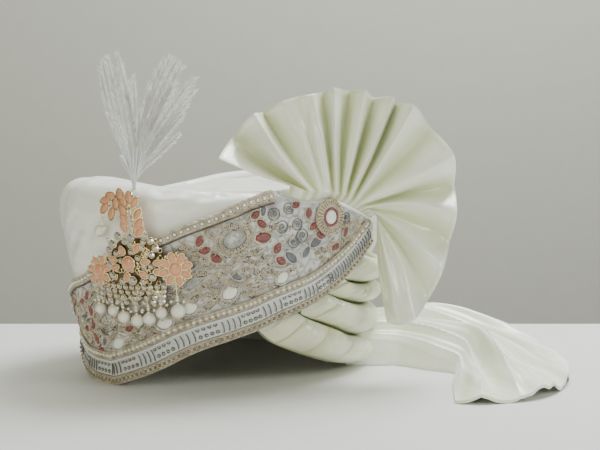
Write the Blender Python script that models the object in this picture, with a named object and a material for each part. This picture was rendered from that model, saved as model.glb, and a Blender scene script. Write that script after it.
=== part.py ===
"""A tied turban (pagri): wound crown and wraps, embroidered band, kalgi brooch, fan and tail.

Metres, +Z up. The front tip faces -Y and the wearer's left is +X. Angles round the head
are in degrees from the front towards the wearer's left. A level is the way up the side,
and on in over the top, as a share of CROWN_HEIGHT.
"""

import math

import bpy
import numpy as np
from mathutils import Vector

# Head and crown
HALF_WIDTH = 0.1065
HALF_LENGTH = 0.1235
CROWN_HEIGHT = 0.1395
CROWN_WALL = 0.004
WRAP_THICKNESS = 0.006
WRAP_PUFF = 0.0025
FAR_DROP = 0.020
CLEARANCE = 0.0006
UNDERLAY_GAP = 0.0014

# Rolls
ROLL_BULGE = 0.015
ROLL_GROOVE = 0.001

# Band and trimming
BAND_THICKNESS = 0.003
LACE_THICKNESS = 0.002
EDGE_LACE_WIDTH = 0.0055
LADDER_WIDTH = 0.0105
BEAD_LACE_WIDTH = 0.0055
UPPER_LACE_WIDTH = 0.0062
LACE_END = 0.972
MEDALLION_RADIUS = 0.0125
MEDALLION_PLACE = (82.0, 0.845)

# How far each layer over the wraps starts from the wound body's surface
BAND_BASE = WRAP_PUFF + 2 * CLEARANCE
LACE_BASE = BAND_BASE + BAND_THICKNESS + CLEARANCE
BROOCH_BASE = LACE_BASE + LACE_THICKNESS + 2 * CLEARANCE

# Fan
FAN_RADIUS = 0.095
FAN_WALL = 0.0022
FAN_PLEAT_DEPTH = 0.0085
FAN_LIFT = 0.0112

# Tail
TAIL_LENGTH = 0.170
TAIL_RISE = 0.038
TAIL_WALL = 0.0022

# Brooch
BROOCH_WIDTH = 0.035
BROOCH_HEIGHT = 0.034
BROOCH_PLATE = 0.0016
FLOWER_RADIUS = 0.0125
FLOWER_HEIGHT = 0.0042
CRYSTAL_RADIUS = 0.0024
STEM_WIDTH = 0.0034
LEAF_REACH = 0.0052
PEARL_RADIUS = 0.0044
HOOK_PEARL_RADIUS = 0.0040
PLUME_HEIGHT = 0.0875
FEATHER_WIDTH = 0.021

# The crown's outer profile: height and width as shares, from the rim to the top's centre
PROFILE = (
    (0.00, 0.825), (0.10, 0.835), (0.20, 0.852), (0.33, 0.882), (0.46, 0.915), (0.56, 0.945),
    (0.66, 0.969), (0.76, 0.990), (0.86, 1.000), (0.92, 0.985), (0.96, 0.945), (0.985, 0.880),
    (0.998, 0.780), (1.000, 0.600), (0.995, 0.400), (0.988, 0.200), (0.985, 0.000),
)
TOP_RATIO = 0.82
SHOULDER_LEVEL = 0.86

# Where the top lies lowest, and how wide that dip is
FAR_ANGLE = -88.0
FAR_SHARPNESS = 4

# The hidden right side mirrors the left about the front tip's angle
TIP_ANGLE = -10.0

# Edge curves: angle from the tip's near side, level
RIM = ((-10, 0.003), (-2, 0.0), (7, 0.029), (20, 0.093), (37, 0.201), (52, 0.269), (58, 0.290),
       (66, 0.215), (77, 0.151), (89, 0.097), (103, 0.045), (118, 0.012), (130, 0.0), (200, 0.0))
SWATHE_EDGE = ((-10, 0.003), (-2, 0.0), (7, 0.029), (20, 0.093), (37, 0.201), (52, 0.269), (59, 0.301),
               (67, 0.348), (80, 0.409), (89, 0.477), (99, 0.577), (104.5, 0.645), (112, 0.72), (200, 0.74))
ROLL_TOPS = (
    ((104, 0.640), (112, 0.605), (122, 0.580), (138, 0.565), (200, 0.560)),
    ((94.5, 0.532), (101.5, 0.487), (115, 0.455), (135, 0.440), (200, 0.430)),
    ((86.5, 0.458), (97.5, 0.398), (116, 0.341), (135, 0.315), (200, 0.300)),
    ((74, 0.379), (78, 0.344), (93.5, 0.262), (107, 0.197), (126, 0.155), (200, 0.140)),
)
BAND_TOP = ((-38, 0.452), (-32.5, 0.459), (-21.5, 0.509), (-12, 0.545), (6, 0.668), (25, 0.778),
            (34, 0.835), (42, 0.885), (52, 0.939), (61, 0.980), (64, 0.972), (68, 0.938), (72.5, 0.914),
            (84.5, 0.903), (91.5, 0.875), (107.5, 0.785))
FRONT_TOP = ((-160, 1.02), (-120, 1.05), (-90, 1.10), (-60, 1.22), (-25, 1.28), (0, 1.22), (20, 1.12),
             (35, 1.06), (50, 1.04), (66, 1.03))
BACK_TOP = ((66, 1.03), (90, 1.10), (130, 1.22), (165, 1.25), (190, 1.12), (202, 1.03))

BAND_START = -36.5
BAND_END = 107.5
WRAP_SEAM_LEFT = 66.0
WRAP_SEAM_RIGHT = -158.0

# The lower border's own line: angle, level
BORDER_LINE = ((-36.5, 0.118), (-31, 0.062), (-22, 0.012), (-12, 0.001), (-2, 0.0), (7, 0.029), (20, 0.093),
               (37, 0.201), (52, 0.269), (59, 0.301), (67, 0.348), (80, 0.409), (89, 0.477), (99, 0.577),
               (104.5, 0.645), (108.5, 0.692), (110.2, 0.745))

# Fan: angle in the fan's plane, reach, pleat, bow, as shares of the radius and the pleat's depth
FAN_FOLDS = (
    (160, 0.96, -0.9, 0.00), (158.5, 1.02, 1.0, 0.02), (149, 1.00, -0.8, 0.03), (135.5, 0.98, 1.0, 0.02),
    (133, 0.94, -0.9, 0.01), (123, 0.92, 0.5, 0.00), (115, 0.89, 0.2, 0.00), (108.5, 0.87, 0.5, 0.00),
    (103.5, 0.86, -0.6, 0.00), (98.5, 0.88, 1.0, 0.00), (91, 0.84, -1.0, 0.00), (84, 0.86, 1.0, 0.00),
    (78, 0.81, -1.0, 0.00), (69.5, 0.86, 1.0, -0.01), (66, 0.82, -0.9, -0.01), (59, 0.87, 1.0, -0.01),
    (44, 0.82, -0.5, -0.01), (27.5, 0.84, 1.0, -0.02), (10, 0.79, -0.9, 0.02), (-4, 0.78, 0.9, 0.05),
    (-20, 0.79, -0.7, 0.05), (-36, 0.83, 0.7, 0.05), (-50, 0.90, -0.3, 0.04), (-60, 0.94, 0.5, 0.02),
    (-67, 0.93, 0.3, -0.01), (-72.5, 0.88, -0.4, -0.03),
)
FAN_GATHER = (68.0, 105.0)
FAN_TURN = 40.0
FAN_LEAN = ((160, 0.06), (120, 0.10), (90, 0.12), (45, 0.20), (0, 0.30), (-40, 0.24), (-72, 0.05))

# Tail: its near edge and its back edge, each as places to the right and towards the front left of
# the edge's start, as shares of the length
TAIL_EDGES = (
    (0.00, 0.000, 0.000, 0.000, 0.000), (0.14, 0.088, -0.020, 0.150, -0.050),
    (0.30, 0.230, 0.090, 0.330, -0.070), (0.42, 0.335, 0.176, 0.450, -0.065),
    (0.60, 0.312, 0.353, 0.600, -0.035), (0.80, 0.294, 0.553, 0.730, 0.030),
    (1.00, 0.282, 0.735, 0.840, 0.185),
)
TAIL_HEM_BOW = (0.125, 0.295)

# Tail folds: place across, then the height at five places from the nape to the hem
TAIL_FOLDS = (
    (0.00, 0.06, 0.05, 0.05, 0.05, 0.05), (0.09, 0.44, 0.46, 0.30, 0.38, 0.16),
    (0.18, 0.62, 0.66, 0.40, 0.16, 0.06), (0.30, 0.76, 0.86, 0.84, 0.52, 0.16),
    (0.42, 0.74, 0.72, 0.66, 0.40, 0.22), (0.52, 0.68, 0.58, 0.40, 0.22, 0.08),
    (0.62, 0.66, 0.68, 0.58, 0.42, 0.20), (0.72, 0.64, 0.60, 0.42, 0.24, 0.08),
    (0.84, 0.78, 1.00, 0.76, 0.46, 0.16), (1.00, 0.30, 0.18, 0.10, 0.06, 0.05),
)
TAIL_NAPE = (118.0, 156.0)
TAIL_ROOT_LEVEL = 0.15

# Brooch: its centre's angle and level, then the plate's outline: direction, radius as a share of the width
BROOCH_PLACE = (14.5, 0.660)
PLATE_OUTLINE = ((0, 0.70), (24, 0.72), (45, 0.69), (70, 0.60), (90, 0.55), (110, 0.54), (135, 0.48),
                 (158, 0.50), (180, 0.60), (202, 0.74), (222, 0.92), (245, 0.86), (270, 0.80), (295, 0.80),
                 (320, 0.72), (340, 0.66), (360, 0.70))
CRYSTALS = (
    (-0.11, 0.45), (-0.24, 0.33), (-0.33, 0.17), (0.38, 0.50), (0.49, 0.38), (0.52, 0.22), (0.30, 0.27),
    (-0.28, -0.38), (0.06, -0.42), (0.42, -0.36), (0.36, -0.06), (-0.30, -0.64), (0.10, -0.68),
)
FLOWERS = (
    ("flower_left", 1.5, 0.609, 1.00, 6), ("flower_centre", 14.0, 0.659, 0.74, 5),
    ("flower_right", 30.5, 0.638, 1.08, 7),
)

# Stem: the angle and level of its line
STEM_LINE = ((16.0, 0.800), (16.0, 0.840), (15.9, 0.880), (15.2, 0.918), (13.0, 0.944), (10.2, 0.948),
             (8.0, 0.925), (6.8, 0.895))
LEAF_PAIRS = 6
LEAF_LEAN = 0.45

# Pearls: angle, level, size, then what each hangs from and in which direction from its centre
PEARLS = (
    (-1.5, 0.412, 0.92, "flower_left", 252), (4.8, 0.414, 0.92, "flower_left", 300),
    (9.8, 0.384, 1.02, "plate", 246), (14.9, 0.373, 1.04, "plate", 264), (20.0, 0.388, 1.02, "plate", 286),
    (24.9, 0.432, 0.96, "plate", 308), (30.8, 0.430, 1.16, "flower_right", 270),
)
HOOK_PLACE = (3.6, 0.806)
PLUME_PLACE = (13.5, 1.0)

# Plume: sideways and height shares of each feather's line, then its width along it
FEATHERS = (
    ((0.0, 0.00), (-0.02, 0.25), (-0.06, 0.48), (-0.13, 0.70), (-0.22, 0.96)),
    ((0.0, 0.00), (0.04, 0.25), (0.12, 0.48), (0.22, 0.72), (0.36, 1.00)),
)
FEATHER_WIDTHS = ((0.10, 0.20, 0.55, 1.00, 0.70), (0.10, 0.30, 1.10, 1.45, 0.80))

COLOURS = {
    "satin": ((0.86, 0.86, 0.80), 0.38, 0.0),
    "inner_satin": ((0.78, 0.78, 0.70), 0.55, 0.0),
    "embroidery": ((0.66, 0.58, 0.52), 0.70, 0.0),
    "lace": ((0.62, 0.57, 0.48), 0.55, 0.3),
    "silver_lace": ((0.66, 0.66, 0.66), 0.40, 0.4),
    "enamel": ((0.86, 0.45, 0.32), 0.28, 0.0),
    "gold": ((0.80, 0.66, 0.42), 0.25, 1.0),
    "pearl": ((0.86, 0.84, 0.76), 0.20, 0.0),
    "feather": ((0.90, 0.91, 0.92), 0.80, 0.0),
}


def smooth(table, x, column=1):
    """A monotone cubic curve through one column of a table, read at x."""
    rows = np.asarray(table, float)
    xs, ys = rows[:, 0], rows[:, column]
    x = np.clip(np.asarray(x, float), xs[0], xs[-1])
    gap = np.diff(xs)
    rise = np.diff(ys) / gap
    slope = np.concatenate([[rise[0]], np.zeros(len(xs) - 2), [rise[-1]]])
    same = rise[:-1] * rise[1:] > 0
    mean = 2 * rise[:-1] * rise[1:] / np.where(same, rise[:-1] + rise[1:], 1.0)
    slope[1:-1] = np.where(same, mean, 0.0)
    i = np.clip(np.searchsorted(xs, x, side="right") - 1, 0, len(xs) - 2)
    t = (x - xs[i]) / gap[i]
    step = ys[i] * (1 + 2 * t) * (1 - t) ** 2 + ys[i + 1] * t * t * (3 - 2 * t)
    return step + gap[i] * (slope[i] * t * (1 - t) ** 2 + slope[i + 1] * t * t * (t - 1))


def profile_lines():
    """The profile's height and width shares against the level."""
    rows = np.asarray(PROFILE)
    steps = np.hypot(np.diff(rows[:, 0]), TOP_RATIO * np.diff(rows[:, 1]))
    level = np.concatenate([[0.0], np.cumsum(steps)])
    return np.column_stack([level, rows[:, 0]]), np.column_stack([level, rows[:, 1]])


HEIGHT_LINE, WIDTH_LINE = profile_lines()
TOP_LEVEL = HEIGHT_LINE[-1, 0]


def fold_angle(angle):
    """The angle on the left side that the hidden right side mirrors."""
    angle = (np.asarray(angle, float) + 180.0) % 360.0 - 180.0
    return np.where(angle < TIP_ANGLE, 2 * TIP_ANGLE - angle, angle)


def body(angle, level):
    """A point of the wound body's outer surface."""
    turn = np.radians(angle)
    height = smooth(HEIGHT_LINE, level)
    width = smooth(WIDTH_LINE, level)
    dip = np.maximum(0.0, np.cos(turn - math.radians(FAR_ANGLE))) ** FAR_SHARPNESS
    z = CROWN_HEIGHT * height - FAR_DROP * (height * width) ** 2 * dip
    x = HALF_WIDTH * width * np.sin(turn)
    y = -HALF_LENGTH * width * np.cos(turn)
    return np.stack(np.broadcast_arrays(x, y, z), axis=-1)


def outward(angle, level):
    """The body's outward direction, which never points down."""
    level = np.clip(level, 0.002, TOP_LEVEL - 0.03)
    across = body(angle + 0.05, level) - body(angle - 0.05, level)
    upward = body(angle, level + 0.001) - body(angle, level - 0.001)
    normal = np.cross(across, upward)
    normal[..., 2] = np.maximum(normal[..., 2], 0.0)
    return normal / np.linalg.norm(normal, axis=-1, keepdims=True)


def place(angle, level, off):
    """A point at a distance outside the body, no lower than the table."""
    angle, level, off = np.broadcast_arrays(*(np.asarray(v, float) for v in (angle, level, off)))
    point = body(angle, np.maximum(level, 0.0)) + off[..., None] * outward(angle, level)
    point[..., 2] = np.maximum(point[..., 2], 0.0)
    return point


def material(name):
    """The named finish, made once."""
    found = bpy.data.materials.get(name)
    if found:
        return found
    colour, roughness, metallic = COLOURS[name]
    made = bpy.data.materials.new(name)
    made.use_nodes = True
    shader = made.node_tree.nodes["Principled BSDF"]
    shader.inputs["Base Color"].default_value = (*colour, 1.0)
    shader.inputs["Roughness"].default_value = roughness
    shader.inputs["Metallic"].default_value = metallic
    return made


def add_object(name, points, faces, finish):
    """A named object of points and faces, shaded smooth."""
    mesh = bpy.data.meshes.new(name)
    mesh.from_pydata([tuple(p) for p in points], [], faces)
    mesh.validate()
    mesh.materials.append(material(finish))
    made = bpy.data.objects.new(name, mesh)
    bpy.context.collection.objects.link(made)
    mesh.shade_smooth()
    mesh.set_sharp_from_angle(angle=math.radians(40))
    return made


def slab(name, outer, inner, finish):
    """A closed sheet between two grids of points of the same size."""
    rows, columns = outer.shape[:2]
    count = rows * columns
    front = np.arange(count).reshape(rows, columns)
    back = front + count
    faces = []
    for i in range(rows - 1):
        for j in range(columns - 1):
            faces.append((front[i, j], front[i + 1, j], front[i + 1, j + 1], front[i, j + 1]))
            faces.append((back[i, j], back[i, j + 1], back[i + 1, j + 1], back[i + 1, j]))
    for i in range(rows - 1):
        faces.append((front[i + 1, 0], front[i, 0], back[i, 0], back[i + 1, 0]))
        faces.append((front[i, -1], front[i + 1, -1], back[i + 1, -1], back[i, -1]))
    for j in range(columns - 1):
        faces.append((front[0, j], front[0, j + 1], back[0, j + 1], back[0, j]))
        faces.append((front[-1, j + 1], front[-1, j], back[-1, j], back[-1, j + 1]))
    points = np.concatenate([outer.reshape(-1, 3), inner.reshape(-1, 3)])
    return add_object(name, points, [tuple(int(v) for v in f) for f in faces], finish)


def turned(name, profile, centre, axis_points, sides, finish):
    """A closed turned piece: (radius, way along) rows carried round the line between two points."""
    start, end = (np.asarray(p, float) for p in axis_points)
    axis = (end - start) / np.linalg.norm(end - start)
    helper = np.array([0.0, 1.0, 0.0]) if abs(axis[1]) < 0.9 else np.array([1.0, 0.0, 0.0])
    side = np.cross(axis, helper)
    side /= np.linalg.norm(side)
    other = np.cross(axis, side)
    turn = np.linspace(0, 2 * np.pi, sides, endpoint=False)
    ring = np.cos(turn)[:, None] * side + np.sin(turn)[:, None] * other
    rows = [np.asarray(centre) + way * axis + radius * ring for radius, way in profile[1:-1]]
    points = np.concatenate([[centre + profile[0][1] * axis], *rows, [centre + profile[-1][1] * axis]])
    faces = []
    last = len(points) - 1
    for j in range(sides):
        k = (j + 1) % sides
        faces.append((0, 1 + k, 1 + j))
        for i in range(len(rows) - 1):
            a, b = 1 + i * sides, 1 + (i + 1) * sides
            faces.append((a + j, a + k, b + k, b + j))
        faces.append((last - sides + j, last - sides + k, last))
    return add_object(name, points, faces, finish)


def lens(count):
    """A rounded cross-section's height share at places across it."""
    t = np.linspace(0.0, 1.0, count)
    return t, np.sqrt(np.clip(1 - (2 * t - 1) ** 2, 0, 1))


def wall_levels(low, high, side_rows, top_rows):
    """Levels up the side to the shoulder, then in over the top in closer steps."""
    side = np.linspace(0, 1, side_rows)[:-1, None]
    top = np.linspace(0, 1, top_rows)[:, None] ** 1.2
    side_levels = low + (SHOULDER_LEVEL - low) * side
    return np.concatenate([side_levels, SHOULDER_LEVEL + (high - SHOULDER_LEVEL) * top])


def build_crown(stations=36, side_rows=5, top_rows=6, inner_rows=6):
    """The hollow wound underlayer, from its arched rim to its closed top."""
    angle = np.linspace(0, 360, stations, endpoint=False)
    rim = smooth(RIM, fold_angle(angle)) + 2 * CLEARANCE / CROWN_HEIGHT
    outer_off = -WRAP_THICKNESS - UNDERLAY_GAP

    high = np.full(stations, 0.93 * TOP_LEVEL)
    outer = place(angle[None], wall_levels(rim, high, side_rows, top_rows), outer_off)
    share = np.linspace(0, 1, inner_rows)[:, None]
    inner = place(angle[None], rim + (high - rim) * share, outer_off - CROWN_WALL)
    outer_rows = len(outer)
    top = place(0.0, TOP_LEVEL, 0.0) * (0, 0, 1)
    points = [*outer.reshape(-1, 3), *inner.reshape(-1, 3)]
    points += [top + (0, 0, outer_off), top + (0, 0, outer_off - CROWN_WALL)]
    inner_base = outer_rows * stations
    outer_tip, inner_tip = len(points) - 2, len(points) - 1
    faces = []
    for j in range(stations):
        k = (j + 1) % stations
        for i in range(outer_rows - 1):
            a, b = i * stations, (i + 1) * stations
            faces.append((a + j, a + k, b + k, b + j))
        for i in range(inner_rows - 1):
            a, b = inner_base + i * stations, inner_base + (i + 1) * stations
            faces.append((a + j, b + j, b + k, a + k))
        top_row = (outer_rows - 1) * stations
        inner_top = inner_base + (inner_rows - 1) * stations
        faces.append((top_row + j, top_row + k, outer_tip))
        faces.append((inner_top + k, inner_top + j, inner_tip))
        faces.append((k, j, inner_base + j, inner_base + k))
    return add_object("crown", points, faces, "inner_satin")


def wrap_slab(name, angles, low, high, side_rows=5, top_rows=5):
    """A padded wrap between two edge levels, puffed away from its edges."""
    level = wall_levels(low, high, side_rows, top_rows).T
    share = (level - low[:, None]) / (high - low)[:, None]
    puff = WRAP_PUFF * np.clip(share / 0.12, 0, 1) ** 0.5
    fall = np.clip((share - 0.80) / 0.20, 0, 1) ** 2
    outer = place(angles[:, None], level, puff - (WRAP_PUFF + 0.5 * WRAP_THICKNESS) * fall)
    inner = place(angles[:, None], level, -WRAP_THICKNESS)
    return slab(name, outer, inner, "satin")


def build_wraps():
    """The two outer wraps, which meet under the fan and on the hidden side."""
    seam = math.degrees(CLEARANCE / HALF_WIDTH)
    front = np.linspace(WRAP_SEAM_RIGHT + seam, WRAP_SEAM_LEFT - seam, 32)
    swathe = smooth(SWATHE_EDGE, fold_angle(front)) + CLEARANCE / CROWN_HEIGHT
    wrap_slab("front_wrap", front, swathe, smooth(FRONT_TOP, front))
    back = np.linspace(WRAP_SEAM_LEFT + seam, WRAP_SEAM_RIGHT + 360 - seam, 20)
    low = lower_edge_of_back(back) + 4 * CLEARANCE / CROWN_HEIGHT
    wrap_slab("back_wrap", back, low, smooth(BACK_TOP, back))


def lower_edge_of_back(angle):
    """The level where the back wrap starts: on the swathe's edge, then on the top roll."""
    left = fold_angle(angle)
    swathe = smooth(SWATHE_EDGE, left)
    roll = smooth(ROLL_TOPS[0], left)
    return np.where(left < ROLL_TOPS[0][0][0], swathe, np.minimum(swathe, roll))


def roll_edges(index, angle):
    """The lower and upper levels of one roll, counted from the top one."""
    left = fold_angle(angle)
    swathe = smooth(SWATHE_EDGE, left)
    gap = 2 * CLEARANCE / CROWN_HEIGHT
    top = smooth(ROLL_TOPS[index], left)
    top = np.where(left < ROLL_TOPS[index][0][0], swathe, np.minimum(swathe, top))
    if index == len(ROLL_TOPS) - 1:
        return smooth(RIM, left), top - gap
    below = ROLL_TOPS[index + 1]
    low = np.minimum(smooth(below, left), swathe)
    return low, top - gap


def build_roll(index, stations=21, rows=5):
    """One padded roll, round the back between two angles of the swathe's edge."""
    last = index == len(ROLL_TOPS) - 1
    start = 60.5 if last else ROLL_TOPS[index + 1][0][0] + 3.5
    ease = (1 - np.cos(np.linspace(0, np.pi, stations))) / 2
    spread = 0.5 * ease + 0.5 * np.linspace(0, 1, stations)
    angle = start + (2 * TIP_ANGLE - start + 360 - start) * spread
    low, high = roll_edges(index, angle)
    share, round_part = lens(rows)
    level = low[:, None] + (high - low)[:, None] * share[None]
    width = (high - low) * CROWN_HEIGHT
    taper = np.sin(np.pi * np.clip(spread * 5, 0, 0.5)) * np.sin(np.pi * np.clip((1 - spread) * 5, 0, 0.5))
    height = np.minimum(ROLL_BULGE, 0.8 * width) * (0.15 + 0.85 * taper)
    off = ROLL_GROOVE + (height[:, None] - ROLL_GROOVE) * round_part[None]
    outer = place(angle[:, None], level, off)
    inner = place(angle[:, None], level, -WRAP_THICKNESS)
    slab("roll_%d" % (index + 1), outer, inner, "satin")


def build_band_panel():
    """The embroidered panel, crowned a little across its width."""
    angle = np.linspace(BAND_START, BAND_END, 33)
    low = smooth(BORDER_LINE, angle)
    high = smooth(BAND_TOP, angle)
    share = 1 - np.linspace(1, 0, 6) ** 1.4
    level = low[:, None] + (high - low)[:, None] * share[None]
    outer = place(angle[:, None], level, BAND_BASE + BAND_THICKNESS)
    inner = place(angle[:, None], level, BAND_BASE)
    slab("band_panel", outer, inner, "embroidery")


def strip(name, line, inset, width, finish, stations=28, end=1.0):
    """A flat lace of even width, beside a line on the body, over the band, to a share of the line."""
    rows = np.asarray(line, float)
    steps = np.concatenate([[0.0], np.cumsum(np.hypot(np.diff(rows[:, 0]) / 60, np.diff(rows[:, 1])))])
    way = np.linspace(0, end * steps[-1], stations)
    angle = smooth(np.column_stack([steps, rows[:, 0]]), way)
    level = smooth(np.column_stack([steps, rows[:, 1]]), way)
    turn = np.radians(angle)
    reach = np.hypot(HALF_WIDTH * np.cos(turn), HALF_LENGTH * np.sin(turn)) * smooth(WIDTH_LINE, level)
    along = np.gradient(turn) * reach
    rise = np.gradient(level) * CROWN_HEIGHT
    size = np.hypot(along, rise)
    across = np.array([inset, inset + width])
    new_angle = angle[:, None] - np.degrees(across[None] * (rise / size / reach)[:, None])
    new_level = level[:, None] + across[None] * (along / size / CROWN_HEIGHT)[:, None]
    outer = place(new_angle, new_level, LACE_BASE + LACE_THICKNESS)
    inner = place(new_angle, new_level, LACE_BASE)
    slab(name, outer, inner, finish)


def build_laces():
    """Three rows of trimming along the lower edge, one along the top and one down the far end."""
    strip("edge_lace", BORDER_LINE, 0.0, EDGE_LACE_WIDTH, "lace", end=LACE_END)
    inset = EDGE_LACE_WIDTH + CLEARANCE
    strip("ladder_lace", BORDER_LINE, inset, LADDER_WIDTH, "silver_lace", end=LACE_END)
    inset += LADDER_WIDTH + CLEARANCE
    strip("bead_lace", BORDER_LINE, inset, BEAD_LACE_WIDTH, "lace", end=LACE_END)
    upper = [row for row in BAND_TOP if row[0] <= 64]
    strip("upper_lace", upper, -UPPER_LACE_WIDTH, UPPER_LACE_WIDTH, "lace", 24)
    inset += BEAD_LACE_WIDTH + CLEARANCE
    low = BORDER_LINE[0][1] + 1.06 * inset / CROWN_HEIGHT
    high = BAND_TOP[0][1] - (UPPER_LACE_WIDTH + 2 * CLEARANCE) / CROWN_HEIGHT
    end = ((BAND_START, low), (BAND_START, high))
    strip("end_lace", end, -UPPER_LACE_WIDTH, UPPER_LACE_WIDTH, "lace", 5)


def build_medallion():
    """The round ornament on the band's near end."""
    angle, level = MEDALLION_PLACE
    foot = place(angle, level, LACE_BASE)
    tip = place(angle, level, LACE_BASE + LACE_THICKNESS)
    radius, rise = MEDALLION_RADIUS, LACE_THICKNESS
    profile = ((0, 0), (radius, 0), (radius, 0.6 * rise), (0.8 * radius, 1.5 * rise),
               (0.4 * radius, 1.2 * rise), (0, 1.6 * rise))
    turned("medallion", profile, foot, (foot, tip), 16, "lace")


def fan_axes():
    """The fan plane's sideways direction and the direction it faces."""
    turn = math.radians(FAN_TURN)
    return np.array([math.cos(turn), math.sin(turn), 0.0]), np.array([math.sin(turn), -math.cos(turn), 0.0])


def build_fan(rows=6):
    """The pleated fan: folds that spread from the gather on the band's end."""
    folds = np.asarray(FAN_FOLDS, float)
    angle, reach, pleat, bow = folds.T
    side, front = fan_axes()
    centre = place(90.0, 0.875, FAN_LIFT)
    share = np.linspace(0, 1, len(folds)) ** 0.8
    gather = FAN_GATHER[0] + (FAN_GATHER[1] - FAN_GATHER[0]) * share
    gather_level = smooth(BAND_TOP, gather) + 0.012
    root = place(gather, gather_level, WRAP_PUFF + CLEARANCE + FAN_WALL)
    neck = place(gather, gather_level + 0.02, FAN_LIFT)
    turn = np.radians(angle)
    lean_angle, lean_share = np.asarray(FAN_LEAN[::-1]).T
    lean = np.interp(angle, lean_angle, lean_share)
    ray = np.cos(turn)[:, None] * side + np.sin(turn)[:, None] * (0, 0, 1)
    rim = centre + FAN_RADIUS * reach[:, None] * ray
    rim = rim - FAN_RADIUS * lean[:, None] * front
    t = np.linspace(0, 1, rows)[None, :, None]
    path = neck[:, None] * (1 - t) + rim[:, None] * t
    swing = -np.sin(turn)[:, None] * side + np.cos(turn)[:, None] * np.array([0.0, 0.0, 1.0])
    path = path + (bow * FAN_RADIUS)[:, None, None] * np.sin(np.pi * t) * swing[:, None]
    depth = FAN_PLEAT_DEPTH * (0.16 + 0.84 * t ** 0.8) * pleat[:, None, None]
    path = path + depth * front
    wall = FAN_WALL / 2 * front
    outer = np.concatenate([root[:, None] + wall, path + wall], axis=1)
    inner = np.concatenate([root[:, None] - wall, path - wall], axis=1)
    slab("fan", outer, inner, "satin")


def build_tail(rows=13, columns=15):
    """The tail: a sheet laid on the table between two edge lines, raised in folds."""
    side, front = fan_axes()
    t = np.linspace(0, 1, rows)
    f = np.linspace(0, 1, columns)
    nape = TAIL_NAPE[0] + (TAIL_NAPE[1] - TAIL_NAPE[0]) * f
    root = place(nape, TAIL_ROOT_LEVEL, ROLL_BULGE + 2 * CLEARANCE)
    root = root * (1, 1, 0)
    near = np.stack([smooth(TAIL_EDGES, t, c) for c in (1, 2)], axis=-1) * TAIL_LENGTH
    far = np.stack([smooth(TAIL_EDGES, t, c) for c in (3, 4)], axis=-1) * TAIL_LENGTH
    plan = near[:, None] * (1 - f)[None, :, None] + far[:, None] * f[None, :, None]
    bulge = TAIL_LENGTH * np.sin(np.pi * f)[None, :] ** 0.8 * (t[:, None] ** 1.6)
    plan = plan + bulge[..., None] * np.array(TAIL_HEM_BOW)
    base = root[None] + plan[..., :1] * side + plan[..., 1:] * front
    folds = np.asarray(TAIL_FOLDS, float)
    stations = np.linspace(0, 1, folds.shape[1] - 1)
    lines = np.stack([smooth(np.column_stack([stations, row[1:]]), t) for row in folds])
    height = np.stack([smooth(np.column_stack([folds[:, 0], lines[:, i]]), f) for i in range(rows)])
    upper = np.maximum(TAIL_RISE * height, 0.8 * TAIL_WALL)
    lower = np.maximum(upper - TAIL_WALL, 0.0)
    outer = base + upper[..., None] * np.array([0, 0, 1.0])
    inner = base + lower[..., None] * np.array([0, 0, 1.0])
    slab("tail", outer, inner, "satin")


def on_brooch(across, up, off):
    """A point over the body, across and up from the brooch's centre in metres."""
    angle, level = BROOCH_PLACE
    turn = math.radians(angle)
    reach = math.hypot(HALF_WIDTH * math.cos(turn), HALF_LENGTH * math.sin(turn))
    return place(angle + np.degrees(across / reach), level + up / CROWN_HEIGHT, BROOCH_BASE + off)


def across_of(angle):
    """How far across the brooch an angle lies, in metres."""
    turn = math.radians(BROOCH_PLACE[0])
    reach = math.hypot(HALF_WIDTH * math.cos(turn), HALF_LENGTH * math.sin(turn))
    return np.radians(np.asarray(angle) - BROOCH_PLACE[0]) * reach


def up_of(level):
    """How far up the brooch a level lies, in metres."""
    return (level - BROOCH_PLACE[1]) * CROWN_HEIGHT


def rosette(name, centre, rings, cap, sides, finish):
    """A closed boss on the brooch: rings of (radius, height) rows, each a list round the centre."""
    turn = np.linspace(0, 2 * np.pi, sides, endpoint=False)
    u0, v0 = centre
    rows = [on_brooch(u0 + reach * np.cos(turn), v0 + reach * np.sin(turn), height + 0 * turn)
            for reach, height in rings]
    points = np.concatenate([[on_brooch(u0, v0, rings[0][1][0])], *rows, [on_brooch(u0, v0, cap)]])
    faces = []
    last = len(points) - 1
    for j in range(sides):
        k = (j + 1) % sides
        faces.append((0, 1 + k, 1 + j))
        for i in range(len(rows) - 1):
            a, b = 1 + i * sides, 1 + (i + 1) * sides
            faces.append((a + j, a + k, b + k, b + j))
        faces.append((last - sides + j, last - sides + k, last))
    return add_object(name, points, faces, finish)


def build_flower(name, angle, level, size, petals, sides_each=4):
    """An enamelled flower: lobed petals round a faceted stone with a flat table."""
    sides = petals * sides_each
    turn = np.linspace(0, 2 * np.pi, sides, endpoint=False)
    lobe = np.abs(np.cos(petals * turn / 2))
    radius = FLOWER_RADIUS * size
    flat = np.ones(sides)
    lift = BROOCH_PLATE + CLEARANCE
    rings = (
        (radius * (0.80 + 0.20 * lobe), lift * flat),
        (radius * (0.80 + 0.20 * lobe), (lift + 0.25 * FLOWER_HEIGHT) * flat),
        (radius * (0.66 + 0.08 * lobe), lift + FLOWER_HEIGHT * (0.30 + 0.28 * lobe)),
        (0.46 * radius * flat, (lift + 0.30 * FLOWER_HEIGHT) * flat),
        (0.44 * radius * flat, (lift + 0.62 * FLOWER_HEIGHT) * flat),
        (0.33 * radius * flat, (lift + FLOWER_HEIGHT) * flat),
    )
    rosette(name, (across_of(angle), up_of(level)), rings, lift + FLOWER_HEIGHT, sides, "enamel")


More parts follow.
